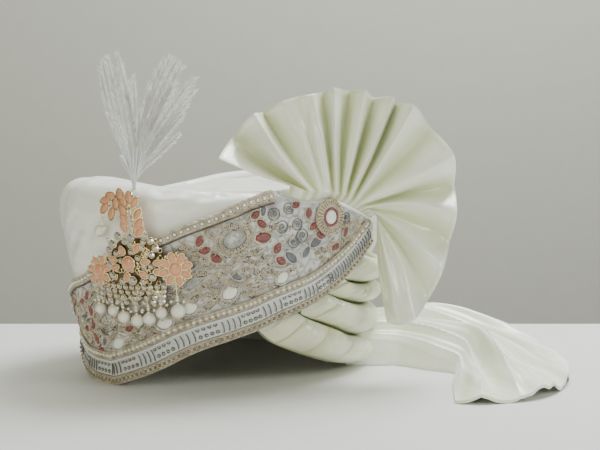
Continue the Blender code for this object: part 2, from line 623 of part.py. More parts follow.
def fuse(target, others):
    """Joins solids into the target by exact unions, and removes them."""
    for index, other in enumerate(others):
        union = target.modifiers.new("union_%d" % index, "BOOLEAN")
        union.operation = "UNION"
        union.solver = "EXACT"
        union.object = other
    graph = bpy.context.evaluated_depsgraph_get()
    joined = bpy.data.meshes.new_from_object(target.evaluated_get(graph))
    target.modifiers.clear()
    target.data = joined
    for other in others:
        bpy.data.objects.remove(other)
    return target


def stone(name, across, up, sides=8):
    """A cut stone set in the plate: a girdle, a sloped crown and a flat table."""
    radius, rise = CRYSTAL_RADIUS * np.ones(sides), BROOCH_PLATE * np.ones(sides)
    rings = ((0.9 * radius, 0.4 * rise), (radius, 1.5 * rise), (0.62 * radius, 2.4 * rise))
    return rosette(name, (across, up), rings, 2.4 * BROOCH_PLATE, sides, "gold")


def plate_radius(direction):
    """How far the plate's outline lies from its centre, in a direction in degrees."""
    return BROOCH_WIDTH * smooth(PLATE_OUTLINE, np.mod(direction, 360))


def build_brooch_plate():
    """The plate: a rounded shield with its clear stones fused on."""
    sides = 20
    outline = plate_radius(np.linspace(0, 360, sides, endpoint=False))
    flat = np.ones(sides)
    rings = ((0.5 * outline, 0 * flat), (outline, 0 * flat), (outline, BROOCH_PLATE * flat),
             (0.5 * outline, BROOCH_PLATE * flat))
    plate = rosette("brooch_plate", (0, 0), rings, BROOCH_PLATE, sides, "gold")
    fuse(plate, [stone("stone_%d" % index, across * BROOCH_WIDTH, up * BROOCH_HEIGHT)
                 for index, (across, up) in enumerate(CRYSTALS)])


def stem_point(way):
    """The stem line's place across and up at a share of its length."""
    line = np.asarray(STEM_LINE, float)
    count = np.linspace(0, 1, len(line))
    angle = smooth(np.column_stack([count, line[:, 0]]), way)
    level = smooth(np.column_stack([count, line[:, 1]]), way)
    return across_of(angle), up_of(level)


def build_stem(stations_each=4):
    """The stem: a curled flat wire whose edges swell into pairs of raised leaves, which lean forward."""
    stations = LEAF_PAIRS * stations_each + 1
    way = np.linspace(0, 1, stations)[:, None]
    column = np.linspace(-1, 1, 5)[None]
    swell = np.abs(np.sin(np.pi * LEAF_PAIRS * way)) ** 0.7
    lean = LEAF_LEAN / LEAF_PAIRS * np.abs(column) * swell
    u, v = stem_point(np.minimum(way + lean, 1.0))
    mid_u, mid_v = stem_point(way)
    du, dv = np.gradient(mid_u, axis=0), np.gradient(mid_v, axis=0)
    size = np.hypot(du, dv)
    half = STEM_WIDTH / 4 + LEAF_REACH * swell * (1 - 0.25 * way)
    across = u - column * half * dv / size
    up = v + column * half * du / size
    foot = BROOCH_PLATE + CLEARANCE
    rise = BROOCH_PLATE * (1 + 0.8 * swell * (np.abs(column) == 0.5))
    under = on_brooch(across, up, np.full_like(up, foot))
    slab("stem", on_brooch(across, up, foot + rise), under, "enamel")


def petal_reach(size, petals, direction):
    """A flower's outline radius in a direction in degrees."""
    lobe = abs(math.cos(petals * math.radians(direction) / 2))
    return FLOWER_RADIUS * size * (0.80 + 0.20 * lobe)


def hook_point(carrier, direction, pin):
    """Where a drop's pin ends, just under the plate's or a flower's edge."""
    u, v, reach, lift = 0.0, 0.0, float(plate_radius(direction)), 0.5 * BROOCH_PLATE
    for name, angle, level, size, petals in FLOWERS:
        if name == carrier:
            u, v, reach = float(across_of(angle)), up_of(level), petal_reach(size, petals, direction)
            lift = BROOCH_PLATE + 2 * CLEARANCE
    reach += pin + CLEARANCE / 2
    turn = math.radians(direction)
    return on_brooch(u + reach * math.cos(turn), v + reach * math.sin(turn), lift)


def build_drop(name, centre, radius, top):
    """A pearl drop: its tip, the pearl, a small bead and a pin up to its hook, turned as one."""
    pin = 0.14 * radius
    length = float(np.linalg.norm(top - centre))
    profile = [(0, -1.4 * radius), (pin, -1.2 * radius)]
    for turn in np.radians((28, 62, 98, 132, 158)):
        profile.append((radius * math.sin(turn), -radius * math.cos(turn)))
    profile += [(2.4 * pin, 1.25 * radius), (pin, 1.6 * radius), (pin, length), (0, length)]
    turned(name, profile, centre, (centre, top), 10, "pearl")


def build_drops():
    """The seven pearls under the brooch and the one on the stem's curl."""
    off = LACE_BASE + CLEARANCE
    for index, (angle, level, size, carrier, direction) in enumerate(PEARLS):
        radius = PEARL_RADIUS * size
        top = hook_point(carrier, direction, 0.14 * radius)
        build_drop("pearl_%d" % (index + 1), place(angle, level, off + radius), radius, top)
    end_across, end_up = stem_point(np.array([0.97, 1.0]))
    step = math.hypot(end_across[1] - end_across[0], end_up[1] - end_up[0])
    share = 0.14 * HOOK_PEARL_RADIUS / step
    top = on_brooch(end_across[1] + share * (end_across[1] - end_across[0]),
                    end_up[1] + share * (end_up[1] - end_up[0]), 1.5 * BROOCH_PLATE)
    centre = place(*HOOK_PLACE, WRAP_PUFF + 3 * CLEARANCE + HOOK_PEARL_RADIUS)
    build_drop("hook_pearl", centre, HOOK_PEARL_RADIUS, top)


def feather(name, line, widths, depth):
    """One feather's outer form: a thin vane with notched locks along its edges."""
    foot = place(*PLUME_PLACE, WRAP_PUFF + 0.003)
    side, front = fan_axes()
    count = 15
    t = np.linspace(0, 1, count)
    rows = np.asarray(line, float)
    u = smooth(np.column_stack([rows[:, 1] / rows[-1, 1], rows[:, 0]]), t) * PLUME_HEIGHT
    v = rows[-1, 1] * t * PLUME_HEIGHT
    half = smooth(np.column_stack([rows[:, 1] / rows[-1, 1], widths]), t) * FEATHER_WIDTH / 2
    lock = 1 + 0.14 * np.where(np.arange(count) % 2, 1, -1) * (t > 0.3)
    du, dv = np.gradient(u), np.gradient(v)
    size = np.hypot(du, dv)
    thick = 0.0011 + 0.10 * half
    corners = []
    for across, out in ((1, 0), (0, 1), (-1, 0), (0, -1)):
        cu = u + across * half * lock * dv / size
        cv = v - across * half * lock * du / size
        back = 0.10 * PLUME_HEIGHT * t ** 2 + depth
        point = foot + cu[:, None] * side + cv[:, None] * np.array([0, 0, 1.0])
        corners.append(point + ((out * thick) - back)[:, None] * front)
    ring = np.stack(corners, axis=1)
    points = ring.reshape(-1, 3)
    faces = [(0, 1, 2, 3), tuple(4 * (count - 1) + c for c in (3, 2, 1, 0))]
    for i in range(count - 1):
        for c in range(4):
            d = (c + 1) % 4
            faces.append((4 * i + c, 4 * (i + 1) + c, 4 * (i + 1) + d, 4 * i + d))
    return add_object(name, points, faces, "feather")


def build_plume():
    """The plume: two feathers fused to a small head behind the stem's top."""
    foot = place(*PLUME_PLACE, WRAP_PUFF + 0.003)
    radius = 0.0026
    profile = ((0, -1.15 * radius), (radius, -1.15 * radius), (1.25 * radius, 2 * radius),
               (0.9 * radius, 5 * radius), (0, 5 * radius))
    head = turned("plume", profile, foot, (foot, foot + np.array([0, 0, 1.0])), 10, "feather")
    left = feather("feather_left", FEATHERS[0], FEATHER_WIDTHS[0], -0.0004)
    right = feather("feather_right", FEATHERS[1], FEATHER_WIDTHS[1], 0.0007)
    fuse(head, [left, right])


def stand_on_table():
    """Carries every piece under an empty, which puts the whole thing's foot at the origin."""
    pieces = [item for item in bpy.context.scene.objects if item.type == "MESH"]
    corners = np.concatenate([np.array([v.co for v in item.data.vertices]) for item in pieces])
    low, high = corners.min(axis=0), corners.max(axis=0)
    holder = bpy.data.objects.new("turban", None)
    bpy.context.collection.objects.link(holder)
    holder.location = Vector((-(low[0] + high[0]) / 2, -(low[1] + high[1]) / 2, -low[2]))
    for item in pieces:
        item.parent = holder


def main():
    """Builds every piece."""
    for item in list(bpy.data.objects):
        bpy.data.objects.remove(item)
    build_crown()
    build_wraps()
    for index in range(len(ROLL_TOPS)):
        build_roll(index)
    build_band_panel()
    build_laces()
    build_medallion()
    build_fan()
    build_tail()
    build_brooch_plate()
    for row in FLOWERS:
        build_flower(*row)
    build_stem()
    build_drops()
    build_plume()
    stand_on_table()


main()
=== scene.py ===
"""A ready-tied turban (pagri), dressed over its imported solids.

Angles round the head are in degrees from the front towards the wearer's left. A level is the way
up the side, and on in over the top, as a share of the crown's height. Lengths are in metres.
"""

import logging
import math
from dataclasses import dataclass
from enum import Enum
from typing import Optional, Sequence, Union

import bpy
import numpy as np
from mathutils import Matrix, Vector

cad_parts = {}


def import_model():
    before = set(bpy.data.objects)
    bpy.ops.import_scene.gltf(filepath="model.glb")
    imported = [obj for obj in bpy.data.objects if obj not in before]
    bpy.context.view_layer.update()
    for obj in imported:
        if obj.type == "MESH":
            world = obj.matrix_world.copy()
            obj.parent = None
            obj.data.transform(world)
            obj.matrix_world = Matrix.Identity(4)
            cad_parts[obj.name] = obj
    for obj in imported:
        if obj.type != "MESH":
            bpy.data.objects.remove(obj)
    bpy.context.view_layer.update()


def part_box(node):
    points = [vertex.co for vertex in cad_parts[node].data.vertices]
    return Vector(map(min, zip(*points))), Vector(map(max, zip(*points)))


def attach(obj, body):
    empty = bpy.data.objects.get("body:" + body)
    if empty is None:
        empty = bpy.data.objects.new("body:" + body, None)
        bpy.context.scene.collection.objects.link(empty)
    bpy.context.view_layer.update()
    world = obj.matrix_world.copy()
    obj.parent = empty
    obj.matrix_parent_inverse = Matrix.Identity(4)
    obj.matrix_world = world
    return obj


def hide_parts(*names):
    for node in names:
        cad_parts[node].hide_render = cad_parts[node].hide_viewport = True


LOG = logging.getLogger("turban")
Array = np.ndarray
Number = Union[float, Array]
Table = Sequence[Sequence[float]]
Colour = tuple[float, float, float]
UP = np.array([0.0, 0.0, 1.0])


def smooth(table: Table, x: Number, column: int = 1) -> Array:
    """Reads a monotone cubic curve through one column of a table.

    Args:
        table: rows whose first number rises from row to row.
        x: where to read it; it is held at the table's ends.
        column: which column to read.

    Returns:
        The curve's values: on each gap, the cubic whose end slopes are the harmonic means of the
        neighbouring slopes, or zero at a turn.
    """
    rows = np.asarray(table, float)
    xs, ys = rows[:, 0], rows[:, column]
    x = np.clip(np.asarray(x, float), xs[0], xs[-1])
    gap = np.diff(xs)
    rise = np.diff(ys) / gap
    slope = np.concatenate([[rise[0]], np.zeros(len(xs) - 2), [rise[-1]]])
    same = rise[:-1] * rise[1:] > 0
    mean = 2 * rise[:-1] * rise[1:] / np.where(same, rise[:-1] + rise[1:], 1.0)
    slope[1:-1] = np.where(same, mean, 0.0)
    i = np.clip(np.searchsorted(xs, x, side="right") - 1, 0, len(xs) - 2)
    t = (x - xs[i]) / gap[i]
    step = ys[i] * (1 + 2 * t) * (1 - t) ** 2 + ys[i + 1] * t * t * (3 - 2 * t)
    return step + gap[i] * (slope[i] * t * (1 - t) ** 2 + slope[i + 1] * t * t * (t - 1))


def ease(x: Number) -> Array:
    """A step from 0 to 1 with flat ends: 3x^2 - 2x^3 on the clipped x."""
    x = np.clip(x, 0.0, 1.0)
    return x * x * (3 - 2 * x)


def unit(vectors: Array) -> Array:
    """The vectors divided by their lengths."""
    return vectors / np.maximum(np.linalg.norm(vectors, axis=-1, keepdims=True), 1e-12)


def ripple(x: Array, seed: float) -> Array:
    """A soft uneven wave of x in -1..1: three sines whose rates share no common step."""
    return (np.sin(x + seed) + 0.6 * np.sin(1.71 * x + 2.3 * seed) + 0.4
            * np.sin(2.83 * x + 0.7 * seed)) / 2.0


@dataclass
class Patch:
    """A bare mesh: points, four-cornered and three-cornered faces, and a surface coordinate."""

    points: Array
    quads: Array
    tris: Array
    uv: Array

    @staticmethod
    def join(patches: Sequence["Patch"]) -> "Patch":
        """Puts several patches in one, face numbers moved on by the points before them.

        Args:
            patches: the patches.

        Returns:
            One patch that holds them all.
        """
        starts = np.cumsum([0] + [len(p.points) for p in patches[:-1]])
        return Patch(
            np.concatenate([p.points for p in patches]),
            np.concatenate([p.quads + s for p, s in zip(patches, starts)]),
            np.concatenate([p.tris + s for p, s in zip(patches, starts)]),
            np.concatenate([p.uv for p in patches]),
        )


NO_TRIS = np.zeros((0, 3), int)


def grid_quads(rows: int, columns: int, start: int = 0, around: bool = False) -> Array:
    """Faces of a grid of points, numbered row by row, whose rows close round if around is set."""
    i = np.arange(rows - 1)[:, None] * columns
    j = np.arange(columns if around else columns - 1)[None]
    k = (j + 1) % columns
    return np.stack([i + j, i + columns + j, i + columns + k, i + k], axis=-1).reshape(-1, 4) + start


def grid_uv(rows: int, columns: int) -> Array:
    """Surface coordinates of a grid, from 0 to 1 both ways."""
    u, v = np.meshgrid(np.linspace(0, 1, rows), np.linspace(0, 1, columns), indexing="ij")
    return np.stack([u, v], axis=-1).reshape(-1, 2)


def slab(outer: Array, inner: Array) -> Patch:
    """Closes the space between two grids of the same size.

    Args:
        outer: points (rows, columns, 3) whose row step crossed with column step points outwards.
        inner: the matching points of the other side.

    Returns:
        Both sides and the four edges, as one closed patch.
    """
    rows, columns = outer.shape[:2]
    count = rows * columns
    number = np.arange(count).reshape(rows, columns)
    ring = np.concatenate([number[0, :-1], number[:-1, -1], number[-1, :0:-1], number[:0:-1, 0]])
    after = np.roll(ring, -1)
    edge = np.stack([ring, after, after + count, ring + count], axis=1)
    quads = np.concatenate([grid_quads(rows, columns), grid_quads(rows, columns, count)[:, ::-1], edge])
    uv = grid_uv(rows, columns)
    points = np.concatenate([outer.reshape(-1, 3), inner.reshape(-1, 3)])
    return Patch(points, quads, NO_TRIS, np.concatenate([uv, uv]))


def capped(rings: Array, first: Array, last: Array) -> Patch:
    """Closes rings of points with a tip at each end.

    Args:
        rings: points (rows, sides, 3), counterclockwise round the direction of the rows.
        first: the tip before the first ring.
        last: the tip after the last ring.

    Returns:
        The closed patch.
    """
    count, sides = rings.shape[:2]
    j = np.arange(sides)
    k = (j + 1) % sides
    tip, end = count * sides, (count - 1) * sides
    tris = [np.stack([k, j, np.full(sides, tip)], 1), np.stack([end + j, end + k, np.full(sides, tip + 1)],
                                                               1)]
    points = np.concatenate([rings.reshape(-1, 3), [first], [last]])
    uv = np.concatenate([grid_uv(count, sides), [[0, 0.5], [1, 0.5]]])
    return Patch(points, grid_quads(count, sides, 0, True)[:, ::-1], np.concatenate(tris), uv)


def looped(rings: Array) -> Patch:
    """Closes rings of points into a loop, the last ring joined to the first."""
    count, sides = rings.shape[:2]
    again = np.concatenate([rings, rings[:1]])
    quads = grid_quads(count + 1, sides, 0, True)[:, ::-1] % (count * sides)
    return Patch(again[:-1].reshape(-1, 3), quads, NO_TRIS, grid_uv(count, sides))


def tube(path: Array, normal: Array, radius: Number, sides: int = 6, flat: float = 1.0,
         closed: bool = False) -> Patch:
    """A round or flattened tube along a path.

    Args:
        path: points (n, 3) of its centre line.
        normal: the direction its flat side faces, one or one for each point.
        radius: its half width, one number or one for each point.
        sides: how many faces go round it.
        flat: its half thickness as a share of the half width.
        closed: whether the path comes back to its start.

    Returns:
        Rings at path + radius * (cos a * side + flat * sin a * face), closed by a tip at each end.
    """
    ahead, behind = np.roll(path, -1, axis=0), np.roll(path, 1, axis=0)
    tangent = unit(ahead - behind if closed else np.gradient(path, axis=0))
    side = unit(np.cross(np.broadcast_to(normal, path.shape), tangent))
    face = np.cross(tangent, side)
    turn = np.linspace(0, 2 * np.pi, sides, endpoint=False)[None, :, None]
    half = np.broadcast_to(np.asarray(radius, float), (len(path),))[:, None, None]
    rings = path[:, None] + half * (np.cos(turn) * side[:, None] + flat * np.sin(turn) * face[:, None])
    return looped(rings) if closed else capped(rings, path[0], path[-1])


def turned(profile: Table, sides: int = 12) -> Patch:
    """A shape turned round the Z axis from (radius, height) rows, whose end rows are its tips.

    Args:
        profile: rows of radius and height, tips at both ends.
        sides: faces round it.

    Returns:
        The closed patch.
    """
    rows = np.asarray(profile, float)
    turn = np.linspace(0, 2 * np.pi, sides, endpoint=False)
    ring = np.stack([np.cos(turn), np.sin(turn), np.zeros(sides)], axis=-1)
    rings = rows[1:-1, 0][:, None, None] * ring[None] + rows[1:-1, 1][:, None, None] * UP
    return capped(rings, rows[0, 1] * UP, rows[-1, 1] * UP)


def ball(radius: float, sides: int = 10, rings: int = 6) -> Patch:
    """A round bead about the origin."""
    turn = np.linspace(0, np.pi, rings + 1)
    return turned(np.column_stack([radius * np.sin(turn), -radius * np.cos(turn)]), sides)


def ring_of(radius: float, wire: float, around: int = 14, sides: int = 6) -> Patch:
    """A round wire ring lying flat about the origin."""
    turn = np.linspace(0, 2 * np.pi, around, endpoint=False)
    path = radius * np.stack([np.cos(turn), np.sin(turn), np.zeros(around)], axis=-1)
    return tube(path, UP, wire, sides, closed=True)


def scatter(template: Patch, origin: Array, x: Array, y: Array, z: Array, size: Number = 1.0) -> Patch:
    """Copies a template to many places: origin + size (px x + py y + pz z) for each of its points.

    Args:
        template: the shape to copy.
        origin: the places.
        x: each place's first direction.
        y: its second.
        z: its third.
        size: its scale.

    Returns:
        All copies as one patch.
    """
    k, n = len(origin), len(template.points)
    p = template.points
    s = np.broadcast_to(np.asarray(size, float), (k,))[:, None, None]
    points = p[None, :, :1] * x[:, None] + p[None, :, 1:2] * y[:, None] + p[None, :, 2:] * z[:, None]
    points = (origin[:, None] + s * points).reshape(-1, 3)
    move = (np.arange(k) * n)[:, None, None]
    quads = (template.quads[None] + move).reshape(-1, 4)
    tris = (template.tris[None] + move).reshape(-1, 3)
    return Patch(points, quads, tris, np.tile(template.uv, (k, 1)))


def make_object(name: str, patch: Patch, finish: "Finishes", sharp: float = 50.0,
                valley: Optional[Array] = None) -> bpy.types.Object:
    """Turns a patch into an object of the scene.

    Args:
        name: the piece's name.
        patch: its points and faces.
        finish: what it is made of.
        sharp: edges that turn by more degrees than this stay sharp.
        valley: how deep in a fold each of the first points lies, from 0 to 1; the satin finishes paint shade
            there.

    Returns:
        The new object, at the origin, riding the root body.
    """
    mesh = bpy.data.meshes.new(name)
    mesh.vertices.add(len(patch.points))
    mesh.vertices.foreach_set("co", np.ascontiguousarray(patch.points, dtype=np.float32).ravel())
    corners = np.concatenate([patch.quads.ravel(), patch.tris.ravel()]).astype(np.int32)
    mesh.loops.add(len(corners))
    mesh.loops.foreach_set("vertex_index", corners)
    quads, tris = len(patch.quads), len(patch.tris)
    starts = np.concatenate([np.arange(quads) * 4, quads * 4 + np.arange(tris) * 3]).astype(np.int32)
    mesh.polygons.add(quads + tris)
    mesh.polygons.foreach_set("loop_start", starts)
    mesh.update(calc_edges=True)
    layer = mesh.uv_layers.new(name="UVMap")
    layer.data.foreach_set("uv", np.ascontiguousarray(patch.uv[corners], dtype=np.float32).ravel())
    if valley is not None:
        depth = np.zeros(len(patch.points), np.float32)
        depth[:valley.size] = valley.ravel()
        mesh.attributes.new("valley", "FLOAT", "POINT").data.foreach_set("value", depth)
    mesh.validate()
    mesh.shade_smooth()
    mesh.set_sharp_from_angle(angle=math.radians(sharp))
    mesh.materials.append(finish.material())
    made = bpy.data.objects.new(name, mesh)
    bpy.context.collection.objects.link(made)
    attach(made, "root")
    LOG.info("%s: %d points, %d faces", name, len(patch.points), quads + tris)
    return made


def sheet_area(grid: Array) -> float:
    """The area of a grid of points: half the cross product of each face's diagonals, summed."""
    one = grid[1:, 1:] - grid[:-1, :-1]
    two = grid[1:, :-1] - grid[:-1, 1:]
    return float(np.linalg.norm(np.cross(one, two), axis=-1).sum() / 2)


# Finishes


class NodeBench:
    """Builds one material's nodes."""

    def __init__(self, name: str) -> None:
        """Starts a material that holds a Principled shader alone."""
        self.made = bpy.data.materials.new(name)
        self.made.use_nodes = True
        self.tree = self.made.node_tree
        self.shader = self.tree.nodes["Principled BSDF"]

    def set(self, **values: object) -> None:
        """Sets constants on the shader's sockets; an underscore stands for a space."""
        for key, value in values.items():
            name = key.replace("_", " ")
            self.shader.inputs[name].default_value = (*value, 1.0) if isinstance(value, tuple) else value

    def add(self, kind: str, inputs: Optional[dict] = None, **settings: object) -> bpy.types.Node:
        """Adds a node; an input is linked if it is given a socket, and otherwise set.

        Args:
            kind: the node's type.
            inputs: sockets or values by input name.

        Returns:
            The new node.
        """
        node = self.tree.nodes.new(kind)
        for key, value in settings.items():
            setattr(node, key, value)
        for key, value in (inputs or {}).items():
            if isinstance(value, bpy.types.NodeSocket):
                self.tree.links.new(value, node.inputs[key])
            else:
                node.inputs[key].default_value = value
        return node

    def feed(self, socket: bpy.types.NodeSocket, name: str) -> None:
        """Links a socket to one of the shader's inputs."""
        self.tree.links.new(socket, self.shader.inputs[name])

    def place(self, scale: tuple[float, float, float] = (1.0, 1.0, 1.0),
              uv: bool = False) -> bpy.types.NodeSocket:
        """Object coordinates, or the piece's own surface coordinates, scaled."""
        source = self.add("ShaderNodeTexCoord").outputs["UV" if uv else "Object"]
        return self.add("ShaderNodeMapping", {"Vector": source, "Scale": scale}).outputs["Vector"]

    def noise(self, at: bpy.types.NodeSocket, scale: float, detail: float = 3.0) -> bpy.types.NodeSocket:
        """A noise value."""
        return self.add("ShaderNodeTexNoise", {"Vector": at, "Scale": scale, "Detail": detail}).outputs["Fac"]

    def ramp(self, value: bpy.types.NodeSocket,
             stops: Sequence[tuple[float, Colour]]) -> bpy.types.NodeSocket:
        """A colour that follows a value through stops.

        Args:
            value: what it follows.
            stops: rows of place and colour.

        Returns:
            The colour.
        """
        node = self.add("ShaderNodeValToRGB", {"Fac": value})
        elements = node.color_ramp.elements
        while len(elements) < len(stops):
            elements.new(0.5)
        for element, (where, colour) in zip(elements, stops):
            element.position = where
            element.color = (*colour, 1.0)
        return node.outputs["Color"]

    def bump(self, height: bpy.types.NodeSocket, distance: float, strength: float = 1.0,
             under: Optional[bpy.types.NodeSocket] = None) -> bpy.types.NodeSocket:
        """A bumped normal, on top of another one if it is given."""
        inputs = {"Height": height, "Distance": distance, "Strength": strength}
        if under is not None:
            inputs["Normal"] = under
        return self.add("ShaderNodeBump", inputs).outputs["Normal"]


@dataclass(frozen=True)
class Finish:
    """What a piece is made of. A plain finish has one colour with a slight unevenness."""

    name: str
    colour: Colour
    roughness: float = 0.5
    metallic: float = 0.0
    uneven: float = 0.06
    grain: float = 900.0
    grain_depth: float = 0.00005

    def material(self) -> bpy.types.Material:
        """The material, made once."""
        return bpy.data.materials.get(self.name) or self.mixed()

    def mixed(self) -> bpy.types.Material:
        """Makes the material.

        Returns:
            The material.
        """
        bench = NodeBench(self.name)
        at = bench.place()
        shade = tuple(c * (1 - 2 * self.uneven) for c in self.colour)
        bench.feed(bench.ramp(bench.noise(at, 60.0), ((0.35, shade), (0.65, self.colour))), "Base Color")
        bench.set(Roughness=self.roughness, Metallic=self.metallic)
        bench.feed(bench.bump(bench.noise(at, self.grain), self.grain_depth, 0.6), "Normal")
        return bench.made


@dataclass(frozen=True)
class Satin(Finish):
    """Smooth satin: a soft broad gloss, fine weave and faint pulled creases, with painted shade in its folds'
    valleys.
    """

    crease: float = 0.0006
    sheen: float = 0.15
    # The painted shade colour, multiplied in at the bottom of the folds' valleys.
    deep: Colour = (0.74, 0.77, 0.56)

    def mixed(self) -> bpy.types.Material:
        """Makes the material: a drift between a cool and a warm ivory, with painted shade in the folds'
        valleys.

        Returns:
            The material.
        """
        bench = NodeBench(self.name)
        at = bench.place()
        cool = self.colour
        warm = (self.colour[0] * 0.985, self.colour[1] * 0.975, self.colour[2] * 0.90)
        drift = bench.ramp(bench.noise(at, 9.0, 2.0), ((0.3, cool), (0.7, warm)))
        # Painted shade: the colour is multiplied towards deep where the valley attribute rises.
        valley = bench.add("ShaderNodeAttribute", attribute_name="valley").outputs["Fac"]
        shade = bench.ramp(valley, ((0.0, (1.0, 1.0, 1.0)), (1.0, self.deep)))
        mixed = bench.add("ShaderNodeMixRGB", {"Fac": 1.0, "Color1": drift, "Color2": shade},
                          blend_type="MULTIPLY")
        bench.feed(mixed.outputs["Color"], "Base Color")
        gloss = bench.add("ShaderNodeMapRange", {"Value": bench.noise(at, 35.0, 3.0),
                                                 "To Min": self.roughness - 0.05,
                                                "To Max": self.roughness + 0.08})
        bench.feed(gloss.outputs["Result"], "Roughness")
        bench.set(Sheen_Weight=self.sheen, Sheen_Roughness=0.3, Specular_IOR_Level=0.9, Anisotropic=0.4)
        weave = bench.add("ShaderNodeTexWave", {"Vector": bench.place((1.0, 1.0, 0.35)), "Scale": 420.0,
                                                "Distortion": 1.5,
                                                "Detail": 1.0})
        fine = bench.bump(weave.outputs["Fac"], 0.00003, 0.35)
        pulled = bench.noise(bench.place((1.0, 1.0, 2.4)), 26.0, 4.0)
        bench.feed(bench.bump(pulled, self.crease, 0.5, fine), "Normal")
        return bench.made


@dataclass(frozen=True)
class Brocade(Finish):
    """The band's ground: ivory silk with a raised woven figure and a close weave."""

    def mixed(self) -> bpy.types.Material:
        """Makes the material: cells of a woven figure over a close weave, in white and grey-lilac, with
        painted shade in the figure's sunken cell edges.

        Returns:
            The material.
        """
        bench = NodeBench(self.name)
        at = bench.place()
        figure = bench.add("ShaderNodeTexVoronoi", {"Vector": at, "Scale": 95.0}, feature="DISTANCE_TO_EDGE")
        # Painted shade: grey along the cell edges, where the figure's bump sinks.
        tone = bench.ramp(figure.outputs["Distance"], ((0.02, (0.46, 0.45, 0.45)), (0.12, self.colour)))
        cloud = bench.ramp(bench.noise(at, 34.0), ((0.36, (0.70, 0.68, 0.76)), (0.48, (0.80, 0.84, 0.80)),
                                                   (0.62, (1.0, 1.0, 1.0))))
        mixed = bench.add("ShaderNodeMixRGB", {"Fac": 0.75, "Color1": tone, "Color2": cloud},
                          blend_type="MULTIPLY")
        bench.feed(mixed.outputs["Color"], "Base Color")
        bench.set(Roughness=self.roughness, Sheen_Weight=0.2)
        weave = bench.add("ShaderNodeTexWave", {"Vector": bench.place((1.0, 1.0, 1.0)), "Scale": 300.0,
                                                "Distortion": 2.0})
        fine = bench.bump(weave.outputs["Fac"], 0.0001, 0.5)
        bench.feed(bench.bump(figure.outputs["Distance"], 0.0008, 0.6, fine), "Normal")
        return bench.made


@dataclass(frozen=True)
class Thread(Finish):
    """Twisted metallic or silk thread, with a fine slanting ply."""

    # The painted shade colour at the bottom of the ply's grooves.
    dark: Colour = (0.25, 0.22, 0.18)

    def mixed(self) -> bpy.types.Material:
        """Makes the material: a fine wave grooves the thread, and its grooves are darkened as painted shade.

        Returns:
            The material.
        """
        bench = NodeBench(self.name)
        at = bench.place()
        ply = bench.add("ShaderNodeTexWave", {"Vector": at, "Scale": 1000.0, "Distortion": 3.0},
                        bands_direction="DIAGONAL")
        # Painted shade: darker towards the bottom of each groove.
        tone = bench.ramp(ply.outputs["Fac"], ((0.0, self.dark), (0.3, self.colour)))
        speck = bench.ramp(bench.noise(at, 260.0, 2.0), ((0.35, (0.60, 0.58, 0.55)), (0.62, (1.0, 1.0, 1.0))))
        mixed = bench.add("ShaderNodeMixRGB", {"Fac": 0.8, "Color1": tone, "Color2": speck},
                          blend_type="MULTIPLY")
        bench.feed(mixed.outputs["Color"], "Base Color")
        bench.set(Roughness=self.roughness, Metallic=self.metallic)
        bench.feed(bench.bump(ply.outputs["Fac"], 0.00006, 0.7), "Normal")
        return bench.made


@dataclass(frozen=True)
class Pearl(Finish):
    """Pearl: cream under a clear glossy skin, with painted shade that darkens and greens it towards its
    outline.
    """

    def mixed(self) -> bpy.types.Material:
        """Makes the material.

        Returns:
            The material.
        """
        bench = NodeBench(self.name)
        # Painted shade: darker and greener where the surface turns away from the view.
        facing = bench.add("ShaderNodeLayerWeight", {"Blend": 0.4}).outputs["Facing"]
        tone = bench.ramp(facing, ((0.1, self.colour), (0.5, (0.74, 0.72, 0.60)), (0.9, (0.44, 0.42, 0.30))))
        bench.feed(tone, "Base Color")
        bench.set(Roughness=self.roughness, Coat_Weight=0.8, Coat_Roughness=0.08, Specular_IOR_Level=0.6)
        return bench.made


@dataclass(frozen=True)
class Crystal(Finish):
    """Cut crystal over foil: near mirror facets with a grey body."""

    def mixed(self) -> bpy.types.Material:
        """Makes the material.

        Returns:
            The material.
        """
        bench = NodeBench(self.name)
        at = bench.place()
        cells = bench.add("ShaderNodeTexVoronoi", {"Vector": at, "Scale": 700.0}).outputs["Color"]
        tone = bench.add("ShaderNodeMixRGB", {"Fac": 0.10, "Color1": (*self.colour, 1.0), "Color2": cells},
                         blend_type="OVERLAY")
        bench.feed(tone.outputs["Color"], "Base Color")
        bench.set(Roughness=self.roughness, Metallic=self.metallic, Coat_Weight=1.0, Coat_Roughness=0.02)
        return bench.made


@dataclass(frozen=True)
class Enamel(Finish):
    """Opaque glossy enamel or resin in a setting."""

    def mixed(self) -> bpy.types.Material:
        """Makes the material.

        Returns:
            The material.
        """
        bench = NodeBench(self.name)
        at = bench.place()
        deep = tuple(c * 0.86 for c in self.colour)
        bench.feed(bench.ramp(bench.noise(at, 160.0), ((0.35, deep), (0.65, self.colour))), "Base Color")
        bench.set(Roughness=self.roughness, Coat_Weight=0.9, Coat_Roughness=0.05)
        return bench.made


